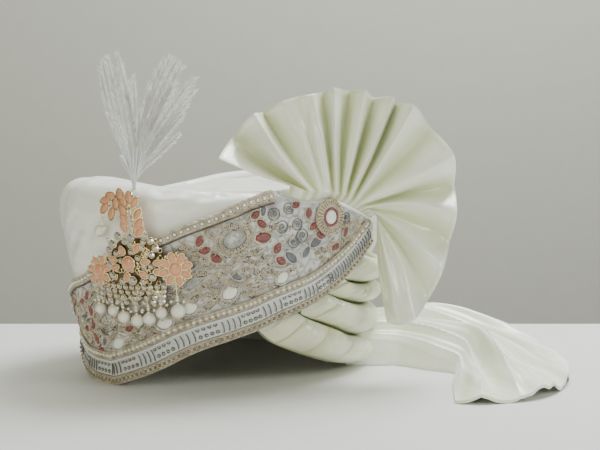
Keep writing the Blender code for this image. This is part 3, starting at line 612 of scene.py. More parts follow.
class Finishes(Enum):
    """The finishes of the whole object."""

    # The four satins are one ivory cloth tinted as painted light: the wraps' ivory satin is whitened as
    # painted top light, the roll satin is darker and yellow-greener as painted shade on the low rolls, and
    # the fan and tail satins lie between. Each deep colour is the painted shade in that satin's fold valleys.
    SATIN = Satin("ivory_satin_painted_top_light", (0.97, 0.985, 0.98), 0.27, deep=(0.80, 0.82, 0.76))
    SHADED_ROLL_SATIN = Satin("roll_satin", (0.82, 0.84, 0.68), 0.29, deep=(0.52, 0.55, 0.26))
    FAN_SATIN = Satin("fan_satin", (0.89, 0.915, 0.83), 0.23, crease=0.0005, deep=(0.66, 0.70, 0.42))
    TAIL_SATIN = Satin("tail_satin", (0.91, 0.935, 0.87), 0.27, deep=(0.74, 0.77, 0.56))
    LINING = Finish("plain_lining", (0.74, 0.74, 0.66), 0.7, grain=1400.0, grain_depth=0.0002)
    GROUND = Brocade("brocade_ground", (0.70, 0.70, 0.71), 0.40)
    LACE_GROUND = Thread("lace_ground", (0.48, 0.41, 0.32), 0.6, 0.1, dark=(0.18, 0.15, 0.11))
    CREAM_THREAD = Thread("cream_thread", (0.84, 0.76, 0.62), 0.34, 0.30, dark=(0.30, 0.23, 0.16))
    GOLD_THREAD = Thread("gold_thread", (0.66, 0.53, 0.36), 0.34, 0.6, dark=(0.18, 0.12, 0.06))
    SILVER_THREAD = Thread("silver_thread", (0.80, 0.80, 0.80), 0.30, 0.45, dark=(0.42, 0.42, 0.43))
    DARK_THREAD = Thread("dark_thread", (0.20, 0.195, 0.19), 0.5, 0.3, dark=(0.07, 0.07, 0.07))
    PINK_SILK = Thread("pink_silk", (0.30, 0.085, 0.09), 0.28, 0.0, dark=(0.15, 0.035, 0.04))
    ROSE_BEAD = Finish("rose_bead", (0.36, 0.12, 0.12), 0.18, 0.0, uneven=0.2)
    GREY_SILK = Thread("grey_silk", (0.22, 0.225, 0.25), 0.40, 0.2, dark=(0.08, 0.085, 0.11))
    BROWN_THREAD = Thread("brown_thread", (0.20, 0.155, 0.11), 0.5, 0.2, dark=(0.06, 0.045, 0.03))
    WHITE_SATIN = Satin("white_patch_satin", (0.90, 0.90, 0.89), 0.30, crease=0.0002)
    RIBBON = Satin("silver_ribbon", (0.66, 0.67, 0.71), 0.20, crease=0.0004)
    GOLD = Finish("pale_gold", (0.92, 0.76, 0.46), 0.20, 1.0, grain_depth=0.00001)
    PEACH = Enamel("peach_enamel", (0.78, 0.345, 0.185), 0.16)
    # The brooch plate's gold, darkened and mottled as painted shade in the gaps between its stones.
    SHADED_PLATE_GOLD = Finish("plate_gold_painted_shade", (0.16, 0.11, 0.055), 0.35, 0.9, uneven=0.3, grain=500.0,
                      grain_depth=0.0004)
    CRYSTAL = Crystal("clear_crystal", (0.50, 0.50, 0.53), 0.06, 0.95)
    BEAD = Finish("seed_bead", (0.62, 0.52, 0.38), 0.22, 0.6)
    SILVER_BEAD = Finish("silver_bead", (0.56, 0.55, 0.51), 0.16, 0.8)
    # Beads darkened as painted shade for the edge lace's open cells.
    SHADED_CELL_BEAD = Finish("cell_bead_painted_shade", (0.30, 0.28, 0.22), 0.18, 0.6)
    PEARL = Pearl("drop_pearl", (0.93, 0.91, 0.84), 0.12)
    FEATHER = Finish("white_feather", (0.99, 0.99, 0.97), 0.6, grain_depth=0.00002)
    TABLE = Finish("pale_table", (0.72, 0.72, 0.705), 0.55, uneven=0.01, grain=300.0)
    WALL = Finish("grey_wall", (0.55, 0.55, 0.50), 0.8, uneven=0.01, grain=300.0)
    QUILL = Finish("grey_quill", (0.84, 0.87, 0.90), 0.5, grain_depth=0.00002)

    def material(self) -> bpy.types.Material:
        """The finish's material."""
        return self.value.material()


# The wound body that everything follows


@dataclass
class HeadForm:
    """The wound body: where a point at an angle, a level and a height above it lies."""

    centre: Array
    half_width: float = 0.1065
    half_length: float = 0.1235
    height: float = 0.1395
    wrap_thickness: float = 0.006
    wrap_puff: float = 0.0025
    far_drop: float = 0.020
    clearance: float = 0.0006
    top_ratio: float = 0.82
    far_angle: float = -88.0
    tip_angle: float = -10.0
    profile: Table = (
        (0.00, 0.825), (0.10, 0.835), (0.20, 0.852), (0.33, 0.882), (0.46, 0.915), (0.56, 0.945),
        (0.66, 0.969), (0.76, 0.990), (0.86, 1.000), (0.92, 0.985), (0.96, 0.945), (0.985, 0.880),
        (0.998, 0.780), (1.000, 0.600), (0.995, 0.400), (0.988, 0.200), (0.985, 0.000),
    )
    rim: Table = (
        (-10, 0.003), (-2, 0.0), (7, 0.029), (20, 0.093), (37, 0.201), (52, 0.269), (58, 0.290),
        (66, 0.215), (77, 0.151), (89, 0.097), (103, 0.045), (118, 0.012), (130, 0.0), (200, 0.0),
    )
    swathe_edge: Table = (
        (-10, 0.003), (-2, 0.0), (7, 0.029), (20, 0.093), (37, 0.201), (52, 0.269), (59, 0.301),
        (67, 0.348), (80, 0.409), (89, 0.477), (99, 0.577), (104.5, 0.645), (112, 0.72), (200, 0.74),
    )

    def __post_init__(self) -> None:
        """Works out the profile's height and width against the level."""
        rows = np.asarray(self.profile)
        level = np.concatenate([[0.0], np.cumsum(np.hypot(np.diff(rows[:, 0]),
                                                          self.top_ratio * np.diff(rows[:, 1])))])
        self.height_line = np.column_stack([level, rows[:, 0]])
        self.width_line = np.column_stack([level, rows[:, 1]])
        self.top_level = float(level[-1])

    def fold_angle(self, angle: Number) -> Array:
        """The angle on the left side that the right side mirrors."""
        angle = (np.asarray(angle, float) + 180.0) % 360.0 - 180.0
        return np.where(angle < self.tip_angle, 2 * self.tip_angle - angle, angle)

    def surface(self, angle: Number, level: Number) -> Array:
        """A point of the body: an oval scaled by the profile's width, with the top dipped on one side.

        Args:
            angle: degrees.
            level: shares of the height.

        Returns:
            The point, about the body's centre.
        """
        turn = np.radians(angle)
        height = smooth(self.height_line, level)
        width = smooth(self.width_line, level)
        dip = np.maximum(0.0, np.cos(turn - math.radians(self.far_angle))) ** 4
        z = self.height * height - self.far_drop * (height * width) ** 2 * dip
        x = self.half_width * width * np.sin(turn)
        y = -self.half_length * width * np.cos(turn)
        return np.stack(np.broadcast_arrays(x, y, z), axis=-1)

    def outward(self, angle: Number, level: Number) -> Array:
        """The body's outward direction, which never points down.

        Args:
            angle: degrees.
            level: shares of the height.

        Returns:
            Unit directions.
        """
        level = np.clip(level, 0.002, self.top_level - 0.03)
        across = self.surface(angle + 0.05, level) - self.surface(angle - 0.05, level)
        upward = self.surface(angle, level + 0.001) - self.surface(angle, level - 0.001)
        normal = np.cross(across, upward)
        normal[..., 2] = np.maximum(normal[..., 2], 0.0)
        return unit(normal)

    def place(self, angle: Number, level: Number, off: Number) -> Array:
        """A point at a distance outside the body, no lower than the table."""
        angle, level, off = np.broadcast_arrays(*(np.asarray(v, float) for v in (angle, level, off)))
        point = self.surface(angle, np.maximum(level, 0.0)) + off[..., None] * self.outward(angle, level)
        point[..., 2] = np.maximum(point[..., 2], 0.0)
        return point + self.centre

    def reach(self, angle: Number, level: Number) -> Array:
        """Metres of the way round for each radian of angle."""
        turn = np.radians(angle)
        width = smooth(self.width_line, level)
        return np.hypot(self.half_width * np.cos(turn), self.half_length * np.sin(turn)) * width


def fold_relief(angle: Array, level: Array, folds: Table) -> Array:
    """Height that creases and ridges add on the wound body.

    Args:
        angle: angles of the points, in degrees.
        level: their levels.
        folds: rows of start angle, start level, end angle, end level, width and height in metres.

    Returns:
        The sum, over the folds, of height * exp(-(distance / width)^2), faded at both ends.
    """
    x, y = angle * 0.00195, level * 0.1395
    total = np.zeros(np.broadcast(x, y).shape)
    for a0, l0, a1, l1, width, height in folds:
        x0, y0 = a0 * 0.00195, l0 * 0.1395
        dx, dy = a1 * 0.00195 - x0, l1 * 0.1395 - y0
        t = np.clip(((x - x0) * dx + (y - y0) * dy) / (dx * dx + dy * dy), 0, 1)
        far = np.hypot(x - x0 - t * dx, y - y0 - t * dy)
        total += height * np.exp(-((far / width) ** 2)) * np.sqrt(np.clip(4 * t * (1 - t), 0, 1))
    return total


@dataclass(frozen=True)
class Layers:
    """How far each layer over the wraps starts from the wound body's surface."""

    band: float = 0.0037
    band_top: float = 0.0067
    lace: float = 0.0073
    lace_top: float = 0.0093
    brooch: float = 0.0105
    plate: float = 0.0016


LAYERS = Layers()
FAN_SIDE = np.array([math.cos(math.radians(40)), math.sin(math.radians(40)), 0.0])
FAN_FRONT = np.array([math.sin(math.radians(40)), -math.cos(math.radians(40)), 0.0])


@dataclass
class Frames:
    """Places on the wound body, each with its own directions: along, up and out."""

    origin: Array
    x: Array
    y: Array
    z: Array

    def spun(self, degrees: Number) -> "Frames":
        """The same places, each turned about its outward direction."""
        turn = np.broadcast_to(np.radians(degrees), (len(self.origin),))[:, None]
        x = np.cos(turn) * self.x + np.sin(turn) * self.y
        y = np.cos(turn) * self.y - np.sin(turn) * self.x
        return Frames(self.origin, x, y, self.z)

    def moved(self, x: Number = 0.0, y: Number = 0.0, z: Number = 0.0) -> "Frames":
        """The same directions at places moved along them."""
        step = [np.broadcast_to(np.asarray(v, float), (len(self.origin),))[:, None] for v in (x, y, z)]
        return Frames(self.origin + step[0] * self.x + step[1] * self.y + step[2] * self.z, self.x, self.y,
                      self.z)

    def put(self, template: Patch, size: Number = 1.0) -> Patch:
        """Copies a template to every place."""
        return scatter(template, self.origin, self.x, self.y, self.z, size)


def frames_on(form: HeadForm, angle: Number, level: Number, off: Number) -> Frames:
    """Frames on the wound body: along the growing angle, upwards and outwards.

    Args:
        form: the wound body.
        angle: degrees.
        level: shares of the height.
        off: metres outside.

    Returns:
        One frame for each place.
    """
    angle, level, off = np.broadcast_arrays(*(np.atleast_1d(np.asarray(v, float))
                                              for v in (angle, level, off)))
    z = form.outward(angle, level)
    origin = form.place(angle, level, off)
    x = unit(np.cross(UP, z))
    return Frames(origin, x, np.cross(z, x), z)


@dataclass
class TrimLine:
    """A line on the wound body, read by its length in metres and a distance to its upper side."""

    form: HeadForm
    line: Table
    share: float = 1.0

    def __post_init__(self) -> None:
        """Samples the line closely and measures it."""
        rows = np.asarray(self.line, float)
        steps = np.concatenate([[0.0], np.cumsum(np.hypot(np.diff(rows[:, 0]) / 60, np.diff(rows[:, 1])))])
        way = np.linspace(0, self.share * steps[-1], 700)
        self.angle = smooth(np.column_stack([steps, rows[:, 0]]), way)
        self.level = smooth(np.column_stack([steps, rows[:, 1]]), way)
        self.reach = self.form.reach(self.angle, self.level)
        along = np.gradient(np.radians(self.angle)) * self.reach
        rise = np.gradient(self.level) * self.form.height
        size = np.hypot(along, rise)
        self.lean, self.climb = rise / size, along / size
        self.gone = np.concatenate([[0.0], np.cumsum((size[1:] + size[:-1]) / 2)])
        self.length = float(self.gone[-1])

    def spot(self, way: Array, across: Array) -> tuple[Array, Array]:
        """The angle and level at a length along the line and a distance to its upper side."""
        angle, level, reach = (np.interp(way, self.gone, v) for v in (self.angle, self.level, self.reach))
        lean, climb = (np.interp(way, self.gone, v) for v in (self.lean, self.climb))
        return angle - np.degrees(across * lean / reach), level + across * climb / self.form.height

    def at(self, way: Array, across: Array, off: Number) -> Array:
        """A point at a length along the line, a distance to its upper side and a height."""
        way, across = np.broadcast_arrays(np.asarray(way, float), np.asarray(across, float))
        return self.form.place(*self.spot(way, across), off)

    def frames(self, way: Array, across: Number, off: Number) -> Frames:
        """Frames whose first direction runs along the line and whose third faces out.

        Args:
            way: metres along the line.
            across: metres to the upper side.
            off: metres outside.

        Returns:
            One frame for each place.
        """
        way = np.asarray(way, float)
        across = np.broadcast_to(np.asarray(across, float), way.shape)
        origin = self.at(way, across, off)
        x = unit(self.at(way + 0.0005, across, off) - self.at(way - 0.0005, across, off))
        z = self.form.outward(*self.spot(way, across))
        y = unit(np.cross(z, x))
        return Frames(origin, x, y, np.cross(x, y))


# Cloth


@dataclass
class Crown:
    """The hollow wound underlayer, open below under its arched rim."""

    form: HeadForm
    wall: float = 0.004
    gap: float = 0.0014
    stations: int = 180
    rows: int = 46

    def build(self) -> None:
        """Builds one skin: up the outside to the top's centre, closed inside by a second one.

        The outer skin lies a wrap's thickness under the body, with turns of cloth as slanting
        ripples; the inner one is a wall's thickness deeper and plain.
        """
        form = self.form
        angle = np.linspace(0, 360, self.stations, endpoint=False)
        rim = smooth(form.rim, form.fold_angle(angle)) + 2 * form.clearance / form.height
        share = np.linspace(0, 1, self.rows)[:, None]
        level = rim + (0.985 * form.top_level - rim) * share
        off = -form.wrap_thickness - self.gap
        turns = np.sin(np.radians(3 * angle) + 26 * level) * 0.0007 * ease((level - 1.0) / 0.15)
        outer = form.place(angle[None], level, off - 0.0007 + turns)
        inner = form.place(angle[None], level, off - self.wall)
        rings = np.concatenate([inner[::-1], outer])
        top = form.place(0.0, form.top_level, 0.0) * UP + form.centre
        patch = capped(rings, top + (off - self.wall) * UP, top + (off - 0.0007) * UP)
        made = make_object("crown_cloth", patch, Finishes.LINING)
        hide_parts("crown")


@dataclass
class Wraps:
    """The two outer wraps, padded, with soft creases drawn towards the fan and the brooch."""

    form: HeadForm
    front_top: Table = (
        (-160, 1.02), (-120, 1.05), (-90, 1.10), (-60, 1.22), (-25, 1.28), (0, 1.22), (20, 1.12),
        (35, 1.06), (50, 1.04), (66, 1.03),
    )
    back_top: Table = ((66, 1.03), (90, 1.10), (130, 1.22), (165, 1.25), (190, 1.12), (202, 1.03))
    seams: tuple[float, float] = (66.0, -158.0)
    folds: Table = (
        (-70, 0.98, 40, 1.00, 0.010, 0.0012), (-64, 0.50, -44, 1.06, 0.008, -0.0014),
        (-50, 0.62, -36, 1.10, 0.009, 0.0012), (-30, 0.70, -22, 1.12, 0.007, -0.0012),
        (-12, 0.86, -14, 1.16, 0.007, 0.0010), (24, 0.95, 30, 1.16, 0.006, -0.0014),
        (36, 0.97, 66, 1.02, 0.004, -0.0020), (30, 1.02, 64, 0.985, 0.005, 0.0016),
        (48, 0.99, 62, 1.10, 0.004, -0.0015), (-78, 0.30, -66, 0.90, 0.010, 0.0015),
        (0, 0.80, 20, 0.93, 0.006, -0.0008), (35, 1.06, 44, 0.972, 0.0024, -0.0012),
        (44, 0.974, 56, 0.956, 0.0022, -0.0012), (46, 0.990, 60, 0.975, 0.0030, 0.0010),
        (33, 0.930, 43, 0.956, 0.0026, -0.0010), (30, 0.955, 46, 0.925, 0.0040, 0.0009),
        (24, 0.90, 38, 0.915, 0.0028, -0.0009), (-4, 0.95, 12, 0.985, 0.0040, -0.0009),
        (22, 0.875, 34, 0.985, 0.0050, 0.0010), (20, 1.00, 38, 0.955, 0.0030, -0.0010),
        (-28, 0.62, -8, 0.80, 0.0040, -0.0009), (-34, 0.70, -12, 0.92, 0.0040, 0.0010),
        (-8, 0.70, 4, 0.86, 0.0040, -0.0009),
    )

    def build(self) -> None:
        """Builds both wraps."""
        form = self.form
        seam = math.degrees(form.clearance / form.half_width)
        front = np.linspace(self.seams[1] + seam, self.seams[0] - seam, 400)
        low = smooth(form.swathe_edge, form.fold_angle(front)) + form.clearance / form.height
        self.wrap("front_wrap", front, low, smooth(self.front_top, front), "front_wrap_cloth")
        back = np.linspace(self.seams[0] + seam, self.seams[1] + 360 - seam, 160)
        low = Rolls.upper_limit(form, back) + 4 * form.clearance / form.height
        self.wrap("back_wrap", back, low, smooth(self.back_top, back), "back_wrap_cloth")

    def wrap(self, node: str, angles: Array, low: Array, high: Array, name: str) -> None:
        """Builds one wrap: the body's surface, puffed, creased and turned in along its top edge.

        Args:
            node: the solid it stands for.
            angles: degrees round the head.
            low: its lower levels.
            high: its upper levels.
            name: its name.
        """
        form = self.form
        share = np.linspace(0, 1, 96)
        level = low[:, None] + (high - low)[:, None] * share[None]
        fall = np.clip((share - 0.80) / 0.20, 0, 1) ** 2
        puff = form.wrap_puff * np.clip(share / 0.12, 0,
                                        1) ** 0.5 - (form.wrap_puff + 0.5 * form.wrap_thickness) * fall
        cover = smooth(BAND_TOP, angles) + 0.02
        clear = ease((level - cover[:, None]) / 0.05) * (1 - ease((share - 0.86) / 0.14))[None]
        clear = np.where((angles[:, None] < BAND_ENDS[0]) | (angles[:, None] > BAND_ENDS[1]), 1.0, clear)
        relief = fold_relief(angles[:, None], level, self.folds)
        slant = ripple(0.055 * angles[:, None] + 34 * level, 1.3) * 0.0005
        off = puff[None] + np.clip(clear * (relief + slant), -0.003, 0.002)
        outer = form.place(angles[:, None], level, off)
        inner = form.place(angles[:, None], level, -form.wrap_thickness)
        # Painted shade: valley rises in the creases, where the relief dips.
        valley = np.clip(-clear * relief / 0.0014, 0, 1)
        made = make_object(name, slab(outer, inner), Finishes.SATIN, valley=valley)
        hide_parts(node)


BAND_ENDS = (-36.5, 107.5)
BAND_TOP = (
    (-38, 0.452), (-32.5, 0.459), (-21.5, 0.509), (-12, 0.545), (6, 0.668), (25, 0.775), (34, 0.832),
    (42, 0.877), (52, 0.930), (58, 0.952), (62, 0.962), (64.5, 0.953), (68, 0.934), (72.5, 0.914),
    (84.5, 0.903), (91.5, 0.875), (107.5, 0.785),
)
BORDER_LINE = (
    (-36.5, 0.118), (-31, 0.062), (-22, 0.012), (-12, 0.001), (-2, 0.0), (7, 0.029), (20, 0.093),
    (37, 0.201), (52, 0.269), (59, 0.301), (67, 0.348), (80, 0.409), (89, 0.477), (99, 0.577),
    (104.5, 0.645), (108.5, 0.692), (110.2, 0.745),
)


@dataclass
class Rolls:
    """The four padded rolls round the back, twisted so that slanting creases run over them."""

    form: HeadForm
    bulge: float = 0.015
    groove: float = 0.001
    tops: tuple[Table, ...] = (
        ((104, 0.640), (112, 0.605), (122, 0.580), (138, 0.565), (200, 0.560)),
        ((94.5, 0.532), (101.5, 0.487), (115, 0.455), (135, 0.440), (200, 0.430)),
        ((86.5, 0.458), (97.5, 0.398), (116, 0.341), (135, 0.315), (200, 0.300)),
        ((74, 0.379), (78, 0.344), (93.5, 0.262), (107, 0.197), (126, 0.155), (200, 0.140)),
    )

    @staticmethod
    def upper_limit(form: HeadForm, angle: Array) -> Array:
        """The level where the back wrap starts: on the swathe's edge, then on the top roll."""
        left = form.fold_angle(angle)
        top = Rolls(form).tops[0]
        swathe = smooth(form.swathe_edge, left)
        return np.where(left < top[0][0], swathe, np.minimum(swathe, smooth(top, left)))

    def edges(self, index: int, angle: Array) -> tuple[Array, Array]:
        """The lower and upper levels of one roll, counted from the top one.

        Args:
            index: which roll.
            angle: degrees.

        Returns:
            The lower and upper levels.
        """
        left = self.form.fold_angle(angle)
        swathe = smooth(self.form.swathe_edge, left)
        gap = 2 * self.form.clearance / self.form.height
        top = smooth(self.tops[index], left)
        top = np.where(left < self.tops[index][0][0], swathe, np.minimum(swathe, top))
        if index == len(self.tops) - 1:
            return smooth(self.form.rim, left), top - gap
        return np.minimum(smooth(self.tops[index + 1], left), swathe), top - gap

    def build(self) -> None:
        """Builds every roll: a half round section whose height tapers at both ends, with creases."""
        form = self.form
        for index in range(len(self.tops)):
            last = index == len(self.tops) - 1
            start = 60.5 if last else self.tops[index + 1][0][0] + 3.5
            even = np.linspace(0, 1, 380)
            spread = 0.25 * (1 - np.cos(np.pi * even)) + 0.5 * even
            angle = start + (2 * form.tip_angle - start + 360 - start) * spread
            low, high = self.edges(index, angle)
            share = (1 - np.cos(np.pi * np.linspace(0, 1, 34))) / 2
            section = np.sqrt(np.clip(1 - (2 * share - 1) ** 2, 0, 1))
            level = low[:, None] + (high - low)[:, None] * share[None]
            ends = np.clip(np.minimum(spread, 1 - spread) * 5, 0, 0.5)
            height = np.minimum(self.bulge, 0.8 * (high - low)
                                * form.height) * (0.15 + 0.85 * np.sin(np.pi * ends) ** 2)
            turn = angle[:, None] * 0.40 - share[None] * 4.6 + 1.9 * index
            crease = -np.exp(-((np.sin(0.5 * turn + 0.5 * np.sin(0.83 * turn + index)) / 0.15) ** 2))
            fine = ripple(turn * 2.3, 0.6 + index)
            relief = (0.0026 * crease + 0.0011
                      * fine) * section[None] * (0.35 + 0.65 * np.sin(np.pi * ends)[:, None])
            # Painted shade: valley rises along each roll's sides, in the grooves between rolls, and in its
            # creases.
            valley = np.clip(np.maximum(ease((0.55 - section[None]) / 0.5), -0.55 * crease), 0, 1)
            off = self.groove + (height[:, None] - self.groove) * section[None] + relief
            outer = form.place(angle[:, None], level, off)
            inner = form.place(angle[:, None], level, -form.wrap_thickness)
            made = make_object("roll_cloth_%d" % (index + 1), slab(outer, inner), Finishes.SHADED_ROLL_SATIN,
                               valley=valley)
            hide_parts("roll_%d" % (index + 1))


@dataclass
class Fan:
    """The pleated fan over the band's near end."""

    form: HeadForm
    radius: float = 0.095
    wall: float = 0.0022
    depth: float = 0.0105
    lift: float = 0.0112
    gather: tuple[float, float] = (68.0, 105.0)
    folds: Table = (
        (160, 0.96, -0.9, 0.00), (158.5, 1.02, 1.0, 0.02), (149, 1.00, -0.8, 0.03),
        (135.5, 0.98, 1.0, 0.02), (133, 0.94, -0.9, 0.01), (123, 0.92, 0.5, 0.00), (115, 0.89, 0.2, 0.00),
        (108.5, 0.87, 0.5, 0.00), (103.5, 0.86, -0.6, 0.00), (98.5, 0.88, 1.0, 0.00),
        (91, 0.84, -1.0, 0.00), (84, 0.86, 1.0, 0.00), (78, 0.81, -1.0, 0.00), (69.5, 0.86, 1.0, -0.01),
        (66, 0.82, -0.9, -0.01), (59, 0.87, 1.0, -0.01), (44, 0.82, -0.5, -0.01), (27.5, 0.84, 1.0, -0.02),
        (10, 0.79, -0.9, 0.02), (-4, 0.78, 0.9, 0.05), (-20, 0.79, -0.7, 0.05), (-36, 0.83, 0.7, 0.05),
        (-50, 0.90, -0.3, 0.04), (-60, 0.94, 0.5, 0.02), (-67, 0.93, 0.3, -0.01),
        (-72.5, 0.88, -0.4, -0.03),
    )
    lean: Table = ((-72, 0.05), (-40, 0.24), (0, 0.30), (45, 0.20), (90, 0.12), (120, 0.10), (160, 0.06))

    def middle(self, each: int = 14, rows: int = 66) -> tuple[Array, Array]:
        """The cloth's middle surface, folds by rows, and how deep in a fold each point lies.

        Each fold's line runs straight from the neck to the rim, bowed sideways in its plane and
        moved forwards or back by its pleat; between folds the tables are read as smooth curves
        that turn quickly at each ridge. Fine creases fade out from the neck.

        Args:
            each: points between two folds.
            rows: points from the neck to the rim.

        Returns:
            Points (folds, rows, 3), and depths (folds, rows) from 0 to 1.
        """
        rows_of = np.asarray(self.folds, float)
        count = len(rows_of)
        place = np.linspace(0, count - 1, (count - 1) * each + 1)
        number = np.arange(count)
        columns = []
        for c in range(4):
            soft = smooth(np.column_stack([number, rows_of[:, c]]), place)
            columns.append(0.62 * soft + 0.38 * np.interp(place, number, rows_of[:, c]))
        angle, reach, pleat, bow = columns
        form = self.form
        centre = form.place(90.0, 0.875, self.lift)
        share = (place / (count - 1)) ** 0.8
        gather = self.gather[0] + (self.gather[1] - self.gather[0]) * share
        level = smooth(BAND_TOP, gather) + 0.012
        root = form.place(gather, level, form.wrap_puff + form.clearance + self.wall)
        neck = form.place(gather, level + 0.02, self.lift)
        turn = np.radians(angle)
        outwards = np.cos(turn)[:, None] * FAN_SIDE + np.sin(turn)[:, None] * UP
        rim = centre + self.radius * reach[:, None] * outwards
        rim = rim - self.radius * smooth(self.lean, angle)[:, None] * FAN_FRONT
        t = np.linspace(0, 1, rows)[None, :, None]
        path = neck[:, None] * (1 - t) + rim[:, None] * t
        swing = -np.sin(turn)[:, None] * FAN_SIDE + np.cos(turn)[:, None] * UP
        path = path + (bow * self.radius)[:, None, None] * np.sin(np.pi * t) * swing[:, None]
        depth = self.depth * (0.16 + 0.84 * t ** 0.8) * pleat[:, None, None]
        creases = (np.sin(place * 5.1 + 0.8 * np.sin(place))[:, None, None] * 0.0018
                   * np.sin(np.pi * np.clip(t * 1.2, 0, 1)))
        wave = ripple(place[:, None] * 1.3 + t[..., 0] * 5.0, 2.2)[..., None] * 0.0020 * t
        path = path + (depth + creases + wave) * FAN_FRONT
        # Painted shade: valley rises in the pleats' back folds, less towards the rim.
        valley = ease(0.45 - 0.75 * pleat)[:, None] * (1 - 0.45 * t[..., 0])
        valley = np.concatenate([np.repeat(valley[:, :1], 5, axis=1), valley], axis=1)
        down = np.linspace(0, 1, 6)[:-1][None, :, None]
        start = root[:, None] * (1 - ease(down)) + path[:, :1] * ease(down)
        return np.concatenate([start, path], axis=1), valley

    def build(self) -> None:
        """Builds the fan: the middle surface thickened both ways, with a turned hem at its rim."""
        middle, valley = self.middle()
        share = np.linspace(0, 1, middle.shape[1])
        hem = 1 + 0.35 * (ease((share - 0.945) / 0.01) - ease((share - 0.985) / 0.015))
        wall = (self.wall / 2 * hem)[None, :, None] * FAN_FRONT
        cloth = slab(middle + wall, middle - wall)
        made = make_object("fan_cloth", cloth, Finishes.FAN_SATIN, valley=valley)
        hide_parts("fan")
        area = sheet_area(middle)


@dataclass
class Tail:
    """The loose tail: a sheet that runs from the nape over the table in long folds."""

    form: HeadForm
    length: float = 0.170
    rise: float = 0.038
    wall: float = 0.0022
    nape: tuple[float, float] = (118.0, 156.0)
    edges: Table = (
        (0.00, 0.000, 0.000, 0.000, 0.000), (0.14, 0.088, -0.020, 0.150, -0.050),
        (0.30, 0.230, 0.090, 0.330, -0.070), (0.42, 0.335, 0.176, 0.450, -0.065),
        (0.60, 0.312, 0.353, 0.600, -0.035), (0.80, 0.294, 0.553, 0.730, 0.030),
        (1.00, 0.282, 0.735, 0.840, 0.185),
    )
    hem_bow: tuple[float, float] = (0.125, 0.295)
    folds: Table = (
        (0.00, 0.06, 0.05, 0.05, 0.05, 0.05), (0.09, 0.44, 0.46, 0.30, 0.38, 0.16),
        (0.18, 0.62, 0.66, 0.40, 0.16, 0.06), (0.30, 0.76, 0.86, 0.84, 0.52, 0.16),
        (0.42, 0.74, 0.72, 0.66, 0.40, 0.22), (0.52, 0.68, 0.58, 0.40, 0.22, 0.08),
        (0.62, 0.66, 0.68, 0.58, 0.42, 0.20), (0.72, 0.64, 0.60, 0.42, 0.24, 0.08),
        (0.84, 0.78, 1.00, 0.76, 0.46, 0.16), (1.00, 0.30, 0.18, 0.10, 0.06, 0.05),
    )

    def grids(self, rows: int = 190, columns: int = 220) -> tuple[Array, Array, Array]:
        """The upper and lower surfaces: a plan between two edge lines, raised by the fold tables.

        Args:
            rows: points along it.
            columns: points across the cloth.

        Returns:
            The upper surface, the lower one, and how deep in a fold each point lies.
        """
        t = np.linspace(0, 1, rows)
        f = np.linspace(0, 1, columns)
        root = self.form.place(self.nape[0] + (self.nape[1] - self.nape[0]) * f, 0.15, 0.0162)
        ground = np.array([1.0, 1.0, 0.0])
        near = np.stack([smooth(self.edges, t, c) for c in (1, 2)], axis=-1) * self.length
        far = np.stack([smooth(self.edges, t, c) for c in (3, 4)], axis=-1) * self.length
        plan = near[:, None] * (1 - f)[None, :, None] + far[:, None] * f[None, :, None]
        bulge = self.length * np.sin(np.pi * f)[None, :] ** 0.8 * (t[:, None] ** 1.6)
        plan = plan + bulge[..., None] * np.array(self.hem_bow)
        base = (root * ground)[None] + plan[..., :1] * FAN_SIDE + plan[..., 1:] * FAN_FRONT
        tuck = (1 - ease(t / 0.10))[:, None, None] * 0.020
        base = base - tuck * unit(root - self.form.centre)[None] * ground
        table = np.asarray(self.folds, float)
        stations = np.linspace(0, 1, table.shape[1] - 1)
        lines = np.stack([smooth(np.column_stack([stations, row[1:]]), t) for row in table])
        height = np.stack([smooth(np.column_stack([table[:, 0], lines[:, i]]), f) for i in range(rows)])
        wrinkle = ripple(f[None] * 40 + 2.6 * np.sin(3.0 * t)[:, None], 0.4) * 0.0014
        soft = ripple(f[None] * 17 + 3.0 * t[:, None], 1.9)
        wrinkle = wrinkle + (1 - 2 * np.abs(soft) ** 0.7) * 0.0022
        # Painted shade: valley rises in the hollows of the soft folds.
        valley = np.clip(2.2 * np.abs(soft) - 0.9, 0, 1) * 0.8
        free = np.clip(height / 0.25, 0, 1)
        upper = np.maximum(self.rise * height + wrinkle * free, 0.8 * self.wall)
        lower = np.maximum(upper - self.wall, 0.0)
        return base + upper[..., None] * UP, base + lower[..., None] * UP, valley

    def build(self) -> None:
        """Builds the tail."""
        upper, lower, valley = self.grids()
        made = make_object("tail_cloth", slab(upper, lower), Finishes.TAIL_SATIN, valley=valley)
        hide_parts("tail")
        middle = (upper + lower) / 2
        long = float(np.linalg.norm(np.diff(middle[:, 66], axis=0), axis=1).sum())


# Trimming


